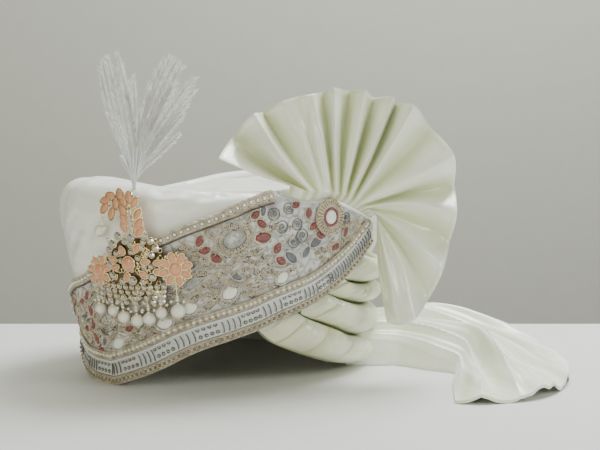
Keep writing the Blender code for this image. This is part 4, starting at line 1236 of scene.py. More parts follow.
@dataclass
class Laces:
    """The woven and beaded laces round the band."""

    form: HeadForm
    edge: float = 0.0055
    ladder: float = 0.0105
    bead: float = 0.0055
    upper: float = 0.0062
    share: float = 0.972

    def build(self) -> None:
        """Builds three laces along the lower edge, one along the top and one down the end past the front."""
        line = TrimLine(self.form, BORDER_LINE, self.share)
        self.ribbon("edge_lace", line, 0.0, self.edge, Finishes.LACE_GROUND)
        # Its dark beads are painted shade for the lace's open cells.
        self.loops("edge_lace", line, 0.0, self.edge, 0.0036, 0.00150, 0.0011, Finishes.SHADED_CELL_BEAD)
        inset = self.edge + self.form.clearance
        self.ribbon("ladder_lace", line, inset, self.ladder, Finishes.RIBBON)
        self.rungs(line, inset)
        inset += self.ladder + self.form.clearance
        self.ribbon("bead_lace", line, inset, self.bead, Finishes.LACE_GROUND)
        self.loops("bead_lace", line, inset, self.bead, 0.0036, 0.0015, 0.00115, Finishes.PEARL)
        top = TrimLine(self.form, [row for row in BAND_TOP if row[0] <= 62])
        self.ribbon("upper_lace", top, -self.upper, self.upper - 0.0012, Finishes.LACE_GROUND)
        self.loops("upper_lace", top, -self.upper + 0.0004, self.upper - 0.0008, 0.0046, 0.0019, 0.00125,
                   Finishes.PEARL)
        self.scallops("upper_lace", top, -0.0026)
        self.cord("upper_lace_line", top, -self.upper - 0.0006, 0.00028, Finishes.BROWN_THREAD)
        inset += self.bead + self.form.clearance
        low = BORDER_LINE[0][1] + 1.06 * inset / self.form.height
        high = BAND_TOP[0][1] - (self.upper + 2 * self.form.clearance) / self.form.height
        end = TrimLine(self.form, ((BAND_ENDS[0], low), (BAND_ENDS[0], high)))
        self.ribbon("end_lace", end, -self.upper, self.upper, Finishes.LACE_GROUND)
        self.loops("end_lace", end, -self.upper, self.upper, 0.0047, 0.0018, 0.00135, Finishes.PEARL)

    def ribbon(self, node: str, line: TrimLine, inset: float, width: float, finish: Finishes) -> None:
        """A flat woven lace with a corded rim along both sides.

        Args:
            node: the solid it stands for.
            line: where it runs.
            inset: metres from the line.
            width: its width.
            finish: what it is made of.
        """
        way = np.linspace(0, line.length, max(24, int(line.length / 0.0011)))
        share = np.linspace(0, 1, 11)
        rise = (LAYERS.lace_top - LAYERS.lace) * (0.30 + 0.45 * np.exp(-((share * 9 - 0.8) ** 2))
                                                + 0.45 * np.exp(-(((1 - share) * 9 - 0.8) ** 2)))
        weave = 0.00022 * np.sin(way / 0.0005)[:, None] * np.sin(np.pi * share)[None]
        across = (inset + width * share)[None]
        outer = line.at(way[:, None], across, LAYERS.lace + rise[None] + weave)
        inner = line.at(way[:, None], across, LAYERS.lace)
        made = make_object(node + "_cloth", slab(outer, inner), finish)
        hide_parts(node)

    def loops(self, name: str, line: TrimLine, inset: float, width: float, pitch: float, radius: float,
              bead: float,
              finish: Finishes) -> None:
        """Rings of thread, each round a bead, in a row, between two twisted cords.

        Args:
            name: its name.
            line: where it runs.
            inset: metres from the line.
            width: the lace's width.
            pitch: metres between rings.
            radius: the rings' radius.
            bead: the beads' radius.
            finish: the beads' finish.
        """
        count = int(line.length / pitch)
        way = (np.arange(count) + 0.5) * line.length / count
        at = line.frames(way, inset + width / 2, LAYERS.lace + 0.0011)
        make_object(name + "_beads", at.moved(z=0.0003).put(ball(bead, 10, 6)), finish)
        rings = [at.put(ring_of(radius, 0.00042, 14, 6)),
                 at.moved(x=pitch / 2, z=-0.0002).put(ring_of(0.0007, 0.0003, 8, 5))]
        for across in (inset + 0.0005, inset + width - 0.0005):
            rings += self.twist(line, across, 0.00038)
        make_object(name + "_loops", Patch.join(rings), Finishes.CREAM_THREAD)

    def twist(self, line: TrimLine, across: float, radius: float) -> list[Patch]:
        """Two strands that wind round each other along a line.

        Args:
            line: where it runs.
            across: metres to the upper side.
            radius: each strand's radius.

        Returns:
            Both strands.
        """
        way = np.linspace(0.0008, line.length - 0.0008, int(line.length / 0.0005))
        strands = []
        for phase in (0.0, math.pi):
            turn = way / 0.0024 * 2 * np.pi + phase
            path = line.at(way, across + 0.9 * radius * np.cos(turn),
                           LAYERS.lace + 0.0010 + 0.9 * radius * np.sin(turn))
            strands.append(tube(path, line.frames(way, across, 0.0).z, radius, 5))
        return strands

    def cord(self, name: str, line: TrimLine, across: float, radius: float, finish: Finishes) -> None:
        """One twisted cord beside a lace."""
        make_object(name, Patch.join(self.twist(line, across, radius)), finish)

    def scallops(self, name: str, line: TrimLine, across: float) -> None:
        """Wide thread loops round each bead, which stand out past a lace's side."""
        count = int(line.length / 0.0046)
        way = (np.arange(count) + 0.5) * line.length / count
        at = line.frames(way, across, LAYERS.lace + 0.0010)
        make_object(name + "_scallops", at.put(ring_of(0.0027, 0.00042, 18, 6)), Finishes.CREAM_THREAD)

    def rungs(self, line: TrimLine, inset: float) -> None:
        """Groups of four dark curved rungs over the ribbon, with ringed beads between, then rungs alone.

        Args:
            line: where it runs.
            inset: metres from the line.
        """
        pitch, group = 0.0036, 0.0288
        middle = inset + self.ladder / 2
        top = LAYERS.lace + 0.0010
        starts = np.arange(0.002, line.length - 0.070, group)
        way = (starts[:, None] + pitch * np.arange(4)[None]).ravel()
        way = np.concatenate([way, np.arange(line.length - 0.052, line.length - 0.001, 0.0027)])
        y = np.linspace(-0.0044, 0.0044, 9)
        arc = np.column_stack([0.0009 * (1 - (y / 0.0044) ** 2), y, 0.0004 * (1 - (y / 0.0044) ** 4)])
        rung = tube(arc, UP, 0.00044, 6)
        make_object("ladder_rungs", line.frames(way, middle, top).put(rung), Finishes.DARK_THREAD)
        spots = (starts[:, None] + pitch * np.arange(4, 8)[None]).ravel()
        places = [line.frames(spots, middle + a, top) for a in (-0.0026, 0.0026)]
        beads = Patch.join([at.put(ball(0.0009, 8, 5)) for at in places])
        make_object("ladder_beads", beads, Finishes.SILVER_BEAD)
        rings = Patch.join([at.put(ring_of(0.0012, 0.00028, 12, 5)) for at in places])
        make_object("ladder_bead_rings", rings, Finishes.DARK_THREAD)


def leaf(length: float, width: float, height: float, point: float = 1.0, around: int = 20) -> Patch:
    """A domed leaf or oval about the origin, raised along Z.

    Args:
        length: its size along X.
        width: its size along Y.
        height: how far its top stands up.
        point: 0 for an oval, 1 for ends as sharp as two crossing arcs.
        around: how many points go round it.

    Returns:
        Shrunken copies of the outline at growing heights, closed above and below.
    """
    outline = leaf_outline(length, width, point, around)
    sizes = ((0.55, 0.0), (0.96, 0.0), (1.0, 0.25), (0.94, 0.55), (0.78, 0.82), (0.5, 0.96), (0.22, 1.0))
    rings = np.stack([outline * s + UP * h * height for s, h in sizes])
    return capped(rings, 0 * UP, UP * height)


def leaf_outline(length: float, width: float, point: float, around: int) -> Array:
    """The outline of a leaf: x = l/2 cos a, y = w/2 sin a |sin a|^point."""
    turn = np.linspace(0, 2 * np.pi, around, endpoint=False)
    y = np.sin(turn) * np.abs(np.sin(turn)) ** point
    return np.column_stack([length / 2 * np.cos(turn), width / 2 * y, np.zeros(around)])


def leaf_rim(length: float, width: float, wire: float, point: float = 1.0, around: int = 20) -> Patch:
    """A wire round a leaf."""
    return tube(leaf_outline(length, width, point, around), UP, wire, 6, closed=True)


@dataclass
class Embroidery:
    """The band panel and the raised stitching on it."""

    form: HeadForm
    petals: Table = (
        (56, 0.875, 40, 1.0), (58, 0.832, -35, 1.0), (58.5, 0.767, 8, 1.5), (63.5, 0.710, 60, 1.1),
        (65, 0.645, -30, 1.1), (38.5, 0.756, 70, 1.1), (40, 0.710, 10, 1.1), (43.5, 0.670, -30, 1.2),
        (69.5, 0.903, 20, 0.9), (74, 0.871, 80, 1.0), (76, 0.806, 30, 1.0), (79, 0.760, -20, 1.1),
        (-11.5, 0.444, 60, 1.1), (-11, 0.366, -60, 1.2), (-11, 0.297, 80, 1.2), (-10.5, 0.219, -50, 1.2),
        (-8.5, 0.158, 10, 1.2), (9.5, 0.301, 30, 1.0), (2, 0.448, -20, 1.0), (-17, 0.40, 20, 1.0),
        (-18, 0.26, -20, 1.1), (-26, 0.38, 60, 1.0), (-27, 0.28, -40, 1.1), (90, 0.76, 60, 1.1),
        (95, 0.70, -30, 1.1), (86, 0.69, 20, 1.1),
    )
    spirals: Table = (
        (62, 0.875, 0, 1.0), (67, 0.892, 120, 0.9), (72, 0.763, 40, 1.1), (69, 0.735, 200, 1.0),
        (64.8, 0.812, 90, 1.0), (-4, 0.283, 60, 1.0), (2, 0.305, 180, 0.8), (-16, 0.33, 10, 1.0),
        (33, 0.62, 90, 0.9), (28, 0.52, 20, 0.9), (70, 0.82, 300, 0.9), (90, 0.83, 20, 0.9),
    )
    leaves: Table = (
        (58.5, 0.888, 78, 0.9), (77.5, 0.728, 30, 1.4), (68.5, 0.659, -40, 1.3), (74, 0.680, 50, 1.1),
        (-5, 0.22, 70, 1.1), (36, 0.64, 30, 1.1), (50, 0.58, -30, 1.1),
    )
    patches: Table = ((34, 0.419, 20, 1.4), (48, 0.495, 35, 1.5), (3, 0.215, 30, 1.4),
                      (24.5, 0.341, 15, 1.5), (66, 0.56, 40, 1.3))
    rosettes: Table = (
        (49.5, 0.763, 25, 1.00), (43.5, 0.803, 20, 0.55), (47.5, 0.659, 10, 0.60), (51.5, 0.570, 0, 0.55),
        (40, 0.659, -20, 0.60), (44, 0.548, 30, 0.60), (-20, 0.32, 60, 0.7), (57, 0.52, 20, 0.5),
        (93, 0.77, 20, 0.7),
    )
    vines: Table = (
        (-33, 66, 0.08, 0.030, 12), (-32, 70, 0.20, 0.040, 9), (-32, 62, 0.33, 0.045, 8),
        (-30, 60, 0.46, 0.050, 7), (-28, 58, 0.58, 0.045, 8), (-20, 44, 0.70, 0.040, 6),
        (-16, 40, 0.84, 0.035, 7), (52, 64, 0.72, 0.060, 1.5), (46, 56, 0.90, 0.030, 1.5),
        (78, 98, 0.30, 0.060, 2), (80, 100, 0.80, 0.050, 2),
    )
    stitches: int = 600

    def build(self) -> None:
        """Builds the panel, then every kind of stitching."""
        self.panel()
        self.motifs(self.petals, "pink_petals", 0.0072, 0.0046, 0.0015, Finishes.PINK_SILK,
                    Finishes.CREAM_THREAD)
        self.petal_beads()
        self.motifs(self.leaves, "grey_leaves", 0.0080, 0.0040, 0.0012, Finishes.GREY_SILK,
                    Finishes.SILVER_THREAD)
        self.motifs(self.patches, "white_patches", 0.0080, 0.0056, 0.0016, Finishes.WHITE_SATIN,
                    Finishes.SILVER_THREAD)
        self.curls()
        self.pleated_ovals()
        self.winding_cords()
        self.scattered()

    def spot(self, angle: Array, share: Array) -> Array:
        """The level at a share of the way from the lower laces to the band's top."""
        low = smooth(BORDER_LINE, angle) + 0.175
        return low + (smooth(BAND_TOP, angle) - 0.052 - low) * share

    def panel(self) -> None:
        """The band's cloth: between its edge curves, a little uneven, with rounded edges."""
        form = self.form
        angle = np.linspace(*BAND_ENDS, 420)
        low, high = smooth(BORDER_LINE, angle), smooth(BAND_TOP, angle)
        share = np.linspace(0, 1, 70)
        level = low[:, None] + (high - low)[:, None] * share[None]
        figure = ripple(angle[:, None] * 1.1 + 9 * level,
                        0.3) * ripple(level * 95 - 0.5 * angle[:, None], 1.1)
        edge = np.sqrt(np.clip(np.minimum(share, 1 - share) / 0.02, 0.05, 1))[None]
        top = LAYERS.band + (LAYERS.band_top - LAYERS.band) * edge + 0.00045 * figure * edge
        outer = form.place(angle[:, None], level, top)
        inner = form.place(angle[:, None], level, LAYERS.band)
        made = make_object("band_cloth", slab(outer, inner), Finishes.GROUND)
        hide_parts("band_panel")
        middle = form.place(angle[:, None], level, (LAYERS.band + LAYERS.band_top) / 2)
        long = float(np.linalg.norm(np.diff(middle[:, 35], axis=0), axis=1).sum())

    def motifs(self, rows: Table, name: str, length: float, width: float, height: float, fill: Finishes,
               outline: Finishes) -> None:
        """Padded leaf shapes with a thread round each.

        Args:
            rows: angle, level, turn and size of each.
            name: its name.
            length: its length.
            width: its width.
            height: how far it stands up.
            fill: the shape's finish.
            outline: the thread's finish.
        """
        angle, level, turn, size = np.asarray(rows, float).T
        at = frames_on(self.form, angle, level, LAYERS.band_top - 0.0002).spun(turn)
        make_object(name, at.put(leaf(length, width, height, 0.45), size), fill)
        rim = at.moved(z=0.0007).put(leaf_rim(length * 1.16, width * 1.26, 0.00044, 0.30), size)
        make_object(name + "_outline", rim, outline)

    def petal_beads(self) -> None:
        """Three glossy knots in a row down each petal."""
        angle, level, turn, size = np.asarray(self.petals, float).T
        at = frames_on(self.form, angle, level, LAYERS.band_top + 0.0006).spun(turn)
        knots = [at.moved(x=step * size, y=0.0003 * (-1) ** k).put(ball(0.00125, 10, 6), size)
                 for k, step in enumerate((-0.0021, 0.0, 0.0021))]
        make_object("petal_knots", Patch.join(knots), Finishes.ROSE_BEAD)

    def curls(self) -> None:
        """Spiral cords: r = r0 + r1 a over two turns, each inside a ring."""
        turn = np.linspace(0.8, 3.3 * np.pi, 48)
        radius = 0.0028 * turn / turn[-1]
        path = np.column_stack([radius * np.cos(turn), radius * np.sin(turn), np.full(48, 0.0004)])
        curl = Patch.join([tube(path, UP, 0.00034, 6), ring_of(0.0041, 0.00036, 24, 6)])
        angle, level, spin, size = np.asarray(self.spirals, float).T
        at = frames_on(self.form, angle, level, LAYERS.band_top + 0.0004).spun(spin)
        make_object("grey_spirals", at.put(curl, size), Finishes.GREY_SILK)

    def pleated_ovals(self) -> None:
        """Ovals of thin cords laid side by side round an open middle, with looping cords outside them."""
        turn = np.linspace(0, 2 * np.pi, 40, endpoint=False)
        ray = np.column_stack([np.cos(turn) * 1.35, np.sin(turn), np.zeros(40)])
        share = np.linspace(0, 1, 5)[:, None]
        spokes = []
        for spoke in ray:
            path = spoke * (0.0037 + 0.0023 * share) + UP * (0.0003 + 0.0009 * np.sin(np.pi * share) ** 0.7)
            spokes.append(tube(path, np.cross(spoke, UP) + 0.2 * UP, 0.00030, 5))
        spokes.append(tube(unit_oval(40) * 0.0036 + UP * 0.0005, UP, 0.0004, 6, closed=True))
        loops = [self.looping_ring(0.0072, 0.0011, 26, 0.0009), self.looping_ring(0.0096, 0.0012, 33, 0.0006)]
        # Painted shade: the brown cords under the loops.
        under = [self.looping_ring(0.0083, 0.0013, 24, 0.0003),
                 tube(unit_oval(40) * 0.0061 + UP * 0.0002, UP, 0.0004, 5, closed=True)]
        angle, level, spin, size = np.asarray(self.rosettes, float).T
        at = frames_on(self.form, angle, level, LAYERS.band_top).spun(spin)
        make_object("pleated_ovals", at.put(Patch.join(spokes), size), Finishes.SILVER_THREAD)
        make_object("oval_loops", at.put(Patch.join(loops), size), Finishes.CREAM_THREAD)
        make_object("oval_shades", at.put(Patch.join(under), size), Finishes.BROWN_THREAD)

    @staticmethod
    def looping_ring(radius: float, loop: float, count: int, lift: float) -> Patch:
        """A cord that makes loops as it goes round an oval: P(a) + loop (cos na, sin na).

        Args:
            radius: the oval's half width.
            loop: the loops' radius.
            count: how many there are.
            lift: metres above the cloth.

        Returns:
            A closed tube.
        """
        turn = np.linspace(0, 2 * np.pi, count * 10, endpoint=False)
        curl = np.column_stack([np.cos(count * turn), np.sin(count * turn), np.zeros(len(turn))])
        path = unit_oval(len(turn)) * radius + loop * curl
        path[:, 2] = lift + 0.0002 * np.sin(count * turn)
        return tube(path, UP, 0.00034, 5, closed=True)

    def vine(self, row: Sequence[float], count: int, index: int) -> tuple[Array, Array]:
        """The angles and levels of points along one vine: a wave whose length drifts."""
        start, end, share, sway, waves = row
        angle = np.linspace(start, end, count)
        phase = (angle - start) / (end - start) * 2 * np.pi * waves
        return angle, self.spot(angle, share + sway * np.sin(phase + 0.6 * np.sin(0.37 * phase + index)))

    def winding_cords(self) -> None:
        """Cords that wave along the band, each beside a looping one that lies over a darker one laid as
        painted shade.
        """
        cords, loops, under = [], [], []
        for index, row in enumerate(self.vines):
            length = math.radians(row[1] - row[0]) * self.form.half_width
            angle, level = self.vine(row, 260, index)
            at = frames_on(self.form, angle, level + 0.030, LAYERS.band_top + 0.0006)
            cords.append(tube(at.origin, at.z, 0.00036, 5))
            for group, pitch, loop, lift in ((loops, 0.0021, 0.0013, 0.0007),
                                             (under, 0.0031, 0.0017, 0.0002)):
                turns = int(length / pitch)
                angle, level = self.vine(row, turns * 11, index)
                phase = np.linspace(0, 2 * np.pi * turns, turns * 11)
                at = frames_on(self.form, angle, level, LAYERS.band_top + lift)
                at = at.moved(x=loop * np.cos(phase), y=loop * np.sin(phase)
                              * (1 + 0.3 * np.sin(0.23 * phase)))
                group.append(tube(at.origin, at.z, 0.00034, 5))
        make_object("winding_cords", Patch.join(cords), Finishes.CREAM_THREAD)
        make_object("looping_cords", Patch.join(loops), Finishes.CREAM_THREAD)
        # The brown under-cords stand in for the shade between the loops.
        make_object("shade_cords", Patch.join(under), Finishes.BROWN_THREAD)

    def scattered(self) -> None:
        """Short stitches strewn over the band, half of them gold and half cream."""
        dice = np.random.default_rng(5)
        path = np.column_stack([np.linspace(-0.0012, 0.0012, 4), np.zeros(4),
                                0.0003 * np.array([0, 1, 1, 0])])
        stitch = tube(path, UP, 0.00032, 5)
        for name, finish in (("gold_stitches", Finishes.GOLD_THREAD),
                             ("cream_stitches", Finishes.CREAM_THREAD)):
            angle = dice.uniform(-34, 105, self.stitches)
            level = self.spot(angle, dice.uniform(0.02, 1.0, self.stitches))
            at = frames_on(self.form, angle, level, LAYERS.band_top
                           + 0.0001).spun(dice.uniform(0, 180, self.stitches))
            make_object(name, at.put(stitch), finish)


def unit_oval(around: int) -> Array:
    """An oval of half length 1.35 and half width 1."""
    turn = np.linspace(0, 2 * np.pi, around, endpoint=False)
    return np.column_stack([1.35 * np.cos(turn), np.sin(turn), np.zeros(around)])


@dataclass
class Medallion:
    """The round ornament on the band's near end."""

    form: HeadForm
    place: tuple[float, float] = (82.0, 0.845)
    radius: float = 0.0125

    def build(self) -> None:
        """A cream button in a pink ring, then a ring of radial cords and an outer twist of beads."""
        at = frames_on(self.form, *self.place, LAYERS.lace)
        r = self.radius
        base = turned(((0, 0), (0.98 * r, 0), (r, 0.0006), (0.96 * r, 0.0011), (0.6 * r, 0.0014),
                       (0, 0.0014)), 40)
        made = make_object("medallion_base", at.put(base), Finishes.CREAM_THREAD)
        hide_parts("medallion")
        button = turned(((0, 0.0008), (0.36 * r, 0.0008), (0.38 * r, 0.0022), (0.30 * r, 0.0032),
                         (0.16 * r, 0.0037),
                         (0, 0.0038)), 30)
        make_object("medallion_button", at.put(button), Finishes.WHITE_SATIN)
        ring = ring_of(0.46 * r, 0.0009, 40, 8)
        make_object("medallion_ring", at.moved(z=0.0018).put(ring), Finishes.PINK_SILK)
        turn = np.linspace(0, 360, 30, endpoint=False)
        spot = at.origin.repeat(30, axis=0)
        spokes = Frames(spot, at.x.repeat(30, axis=0), at.y.repeat(30, axis=0),
                        at.z.repeat(30, axis=0)).spun(turn)
        path = np.column_stack([np.linspace(0.54, 0.84, 6) * r, np.zeros(6),
                                0.0016 + 0.0007 * np.sin(np.linspace(0, np.pi, 6))])
        make_object("medallion_spokes", spokes.put(tube(path, UP, 0.0006, 6)), Finishes.CREAM_THREAD)
        beads = spokes.moved(x=0.91 * r, z=0.0016).put(ball(0.0011, 10, 6))
        make_object("medallion_beads", beads, Finishes.BEAD)


# Brooch


@dataclass
class Brooch:
    """The jewel: a shield of clear stones with enamelled flowers, a leafy curl, pearls and a plume."""

    form: HeadForm
    centre: tuple[float, float] = (16.0, 0.645)
    width: float = 0.0305
    pearl: float = 0.0044
    outline: Table = (
        (0, 0.70), (24, 0.72), (45, 0.69), (70, 0.60), (90, 0.55), (110, 0.54), (135, 0.48), (158, 0.50),
        (180, 0.60), (202, 0.74), (222, 0.92), (245, 0.86), (270, 0.80), (295, 0.80), (320, 0.72),
        (340, 0.66), (360, 0.70),
    )
    crystals: Table = (
        (12.5, 0.778, 1.0), (10, 0.738, 1.0), (8.5, 0.706, 0.9), (21.5, 0.785, 1.0), (23.5, 0.760, 0.9),
        (25, 0.724, 0.9), (20.5, 0.724, 0.8), (15, 0.753, 0.9), (8.5, 0.577, 1.0), (16, 0.559, 1.1),
        (23, 0.581, 1.0), (20.5, 0.631, 0.7), (16.5, 0.700, 0.7), (11.0, 0.690, 0.7), (8.0, 0.630, 0.8),
        (16.0, 0.612, 0.7), (17.0, 0.772, 1.0), (16.9, 0.738, 0.9), (21.0, 0.752, 0.7), (23.4, 0.690, 0.8),
        (12.4, 0.655, 0.7), (18.6, 0.672, 0.7), (22.8, 0.632, 0.7), (4.5, 0.556, 0.8), (12.0, 0.552, 0.8),
        (19.8, 0.556, 0.8),
    )
    flowers: Table = ((3.6, 0.598, 0.84, 7), (15.4, 0.643, 0.50, 0), (30.8, 0.624, 0.92, 8))
    petals: Table = (
        (18.9, 0.722), (13.6, 0.706), (21.2, 0.655), (25.4, 0.652), (25.2, 0.606), (9.8, 0.660),
        (10.2, 0.622), (14.2, 0.576), (20.2, 0.590),
    )
    stem: Table = ((17.9, 0.800), (17.9, 0.840), (17.7, 0.875), (16.8, 0.902), (14.9, 0.915), (12.1, 0.917),
                   (10.3, 0.905),
                   (9.3, 0.888))
    leaves: Table = (
        (20.4, 0.803, 50), (20.2, 0.842, 52), (19.9, 0.880, 58), (18.6, 0.911, 70), (16.6, 0.928, 110),
        (13.2, 0.936, 120), (10.0, 0.930, 160), (8.4, 0.914, 190), (8.4, 0.892, 235), (12.4, 0.906, 110),
        (11.2, 0.878, 255), (15.0, 0.914, 125), (15.1, 0.888, 125), (15.4, 0.860, 125), (15.4, 0.824, 120),
    )
    drops: Table = (
        (-0.5, 0.396, 0.92, 0.500), (5.6, 0.394, 0.92, 0.486), (10.1, 0.366, 1.02, 0.470),
        (15.4, 0.354, 1.04, 0.462), (20.0, 0.366, 1.02, 0.474), (24.6, 0.398, 0.94, 0.500),
        (30.5, 0.410, 1.16, 0.545),
    )
    hook: tuple[float, float, float, float] = (3.8, 0.792, 0.91, 0.872)

    def build(self) -> None:
        """Builds the brooch; its gold rims, wires and settings are one piece."""
        self.gold: list[Patch] = []
        self.stones: list[Patch] = []
        self.plate()
        self.settings()
        for name, row in zip(("flower_left", "flower_centre", "flower_right"), self.flowers):
            self.flower(name, *row)
        self.leafy_stem()
        self.pearls()
        make_object("brooch_gold", Patch.join(self.gold), Finishes.GOLD)
        make_object("brooch_stones", Patch.join(self.stones), Finishes.CRYSTAL, 20.0)

    def at(self, angle: Number, level: Number, off: float) -> Frames:
        """Frames over the brooch's base layer."""
        return frames_on(self.form, angle, level, LAYERS.brooch + off)

    def offsets(self, across: Array, up: Array, off: float) -> Frames:
        """Frames at distances across and up from the brooch's centre."""
        reach = float(self.form.reach(self.centre[0], 0.86))
        return self.at(self.centre[0] + np.degrees(across / reach), self.centre[1] + up / self.form.height,
                       off)

    def plate(self) -> None:
        """The shield: its outline repeated at shrinking sizes, with a raised rim."""
        turn = np.linspace(0, 360, 120, endpoint=False)
        reach = self.width * smooth(self.outline, turn)
        rows = ((0.4, 0.0), (0.8, 0.0), (1.0, 0.0), (1.0, 1.0), (0.96, 1.4), (0.92, 1.0), (0.7, 0.9),
                (0.4, 0.9), (0.15, 0.9))
        rings = []
        for size, height in rows:
            across, up = size * reach * np.cos(np.radians(turn)), size * reach * np.sin(np.radians(turn))
            rings.append(self.offsets(across, up, height * LAYERS.plate).origin)
        tips = [self.offsets(np.zeros(1), np.zeros(1), h * LAYERS.plate).origin[0] for h in (0.0, 0.9)]
        # Its dark finish is painted shade for the gaps of the openwork.
        made = make_object("brooch_base", capped(np.stack(rings), tips[0], tips[1]), Finishes.SHADED_PLATE_GOLD)
        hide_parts("brooch_plate")

    def settings(self) -> None:
        """Clear stones in collars with four prongs: large ones from the table, small ones in rows below."""
        angle, level, size = np.asarray(self.crystals, float).T
        rows = [(a, 0.535 - 0.026 * k - 0.012 * math.sin(math.pi * s), 0.66)
                for k in range(4) for s, a in zip(np.linspace(0, 1, 11 - k),
                                                  np.linspace(3.5 - 0.5 * k, 26.5 - 0.3 * k, 11 - k))]
        small = np.asarray(rows).T
        angle, level, size = (np.concatenate([one, two]) for one, two in zip((angle, level, size), small))
        at = self.at(angle, level, LAYERS.plate)
        stone = turned(((0, 0), (0.0018, 0.0), (0.0024, 0.0011), (0.0024, 0.0014), (0.0015, 0.0023),
                        (0, 0.0023)), 8)
        self.stones.append(at.put(stone, size))
        self.gold.append(at.moved(z=0.0011 * size).put(ring_of(0.0026, 0.00036, 14, 6), size))
        dice = np.random.default_rng(9)
        angle, level = dice.uniform(4.5, 26.5, 70), dice.uniform(0.455, 0.76, 70)
        rings = self.at(angle, level, LAYERS.plate + 0.0003).spun(dice.uniform(0, 180, 70))
        self.gold.append(rings.put(ring_of(0.0014, 0.00033, 12, 5)))
        for turn in (45, 135, 225, 315):
            spot = at.spun(turn).moved(x=0.0022 * size, z=0.0017 * size)
            self.gold.append(spot.put(ball(0.0005, 6, 4), size))

    def flower(self, name: str, angle: float, level: float, size: float, count: int) -> None:
        """A flower: an oval cabochon, leaf-shaped petals round it, rims, and sparks between the petals.

        Args:
            name: its name.
            angle: degrees.
            level: shares of the height.
            size: its scale.
            count: how many petals, 0 for those in the table.
        """
        lift = LAYERS.plate + 0.0010
        centre = self.at(angle, level, lift)
        cap = leaf(0.0094, 0.0084, 0.0030, 0.0, 24)
        parts = [centre.spun(90).put(cap)]
        self.gold.append(centre.spun(90).moved(z=0.0009).put(leaf_rim(0.0099, 0.0089, 0.0005, 0.0, 28)))
        if count:
            turn = 360 / count * np.arange(count) + 18
            reach = 0.0125 * size * 0.68
            spots = Frames(*(v.repeat(count, axis=0) for v in (centre.origin, centre.x, centre.y,
                                                               centre.z))).spun(turn)
            petals = spots.moved(x=reach, z=-0.0003)
            sparks = spots.spun(180 / count).moved(x=0.0125 * size * 0.86)
        else:
            a, v = np.asarray(self.petals, float).T
            turn = np.degrees(np.arctan2((v - level) * self.form.height,
                                         np.radians(a - angle) * self.form.half_width))
            petals = self.at(a, v, lift - 0.0003).spun(turn)
            sparks = petals.moved(y=0.0026)
        shape = (0.0076 * max(size, 0.8), 0.0047 * max(size, 0.8))
        parts.append(petals.put(leaf(*shape, 0.0019, 0.30)))
        self.gold.append(petals.moved(z=0.0008).put(leaf_rim(shape[0] * 1.10, shape[1] * 1.14, 0.00052,
                                                             0.30)))
        self.gold.append(sparks.put(ring_of(0.0009, 0.0003, 10, 5)))
        self.stones.append(sparks.put(turned(((0, -0.0003), (0.0008, 0.0), (0.0005, 0.0007), (0, 0.0007)),
                                             6)))
        made = make_object(name + "_petals", Patch.join(parts), Finishes.PEACH)
        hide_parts(name)

    def leafy_stem(self) -> None:
        """The curl: a gold wire with leaves on both sides and sparks along it."""
        line = TrimLine(self.form, self.stem)
        way = np.linspace(0, line.length, 80)
        path = line.at(way, 0.0, LAYERS.brooch + LAYERS.plate + 0.0012)
        self.gold.append(tube(path, line.frames(way, 0.0, 0.0).z, 0.00075, 8))
        angle, level, turn = np.asarray(self.leaves, float).T
        at = self.at(angle, level, LAYERS.plate + 0.0012).spun(turn)
        made = make_object("stem_leaves", at.put(leaf(0.0084, 0.0046, 0.0018, 0.55)), Finishes.PEACH)
        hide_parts("stem")
        self.gold.append(at.moved(z=0.0008).put(leaf_rim(0.0090, 0.0051, 0.00052, 0.5)))
        spots = line.frames(np.linspace(0.004, line.length - 0.002, 9), 0.0,
                            LAYERS.brooch + LAYERS.plate + 0.0018)
        self.stones.append(spots.put(turned(((0, -0.0003), (0.0010, 0.0), (0.0006, 0.0008), (0, 0.0008)), 8)))

    def pearls(self) -> None:
        """Pearls on headpins, each under two seed beads and a jump ring."""
        rows = [(*row, "pearl_%d" % (index + 1)) for index, row in enumerate(self.drops)]
        rows.append((*self.hook, "hook_pearl"))
        for angle, level, size, hang, node in rows:
            radius = self.pearl * size
            on_hook = node == "hook_pearl"
            off = (self.form.wrap_puff + 0.0018 if on_hook else LAYERS.lace + 0.0006) + radius
            centre = self.form.place(angle, level, off)
            top = self.form.place(7.2 if on_hook else angle, hang, LAYERS.brooch + 0.0018)
            z = unit(top - centre)
            out = self.form.outward(angle, level)
            x = unit(np.cross(z, out))
            hung = Frames(centre[None], x[None], np.cross(z, x)[None], z[None])
            made = make_object(node + "_ball", hung.put(ball(radius, 28, 18)), Finishes.PEARL)
            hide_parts(node)
            length = float(np.linalg.norm(top - centre))
            pin = tube(np.linspace([0, 0, -1.28 * radius], [0, 0, length], 6), [1.0, 0, 0], 0.00032, 6)
            foot = hung.moved(z=-1.24 * radius).put(ball(0.0008, 8, 6))
            cup = hung.moved(z=-1.02 * radius).put(ball(0.0013, 10, 5))
            collar = hung.moved(z=1.02 * radius).put(ball(0.0013, 10, 5))
            turn = Frames(hung.origin, hung.z, hung.x, hung.y)
            ring = turn.moved(x=length).put(ring_of(0.0017 * (1.6 if size > 1.1 else 1.0), 0.0003, 16, 6))
            self.gold += [hung.put(pin), foot, cup, collar, ring]
            beads = [hung.moved(z=radius * 1.3 + 0.0011 + 0.0022 * n).put(ball(0.0012, 10, 7))
                     for n in range(2)]
            beads += [hung.moved(x=s * 0.0042, z=radius + 0.0016).put(ball(0.0011, 10, 7)) for s in (-1, 1)]
            make_object(node + "_seeds", Patch.join(beads), Finishes.PEARL)


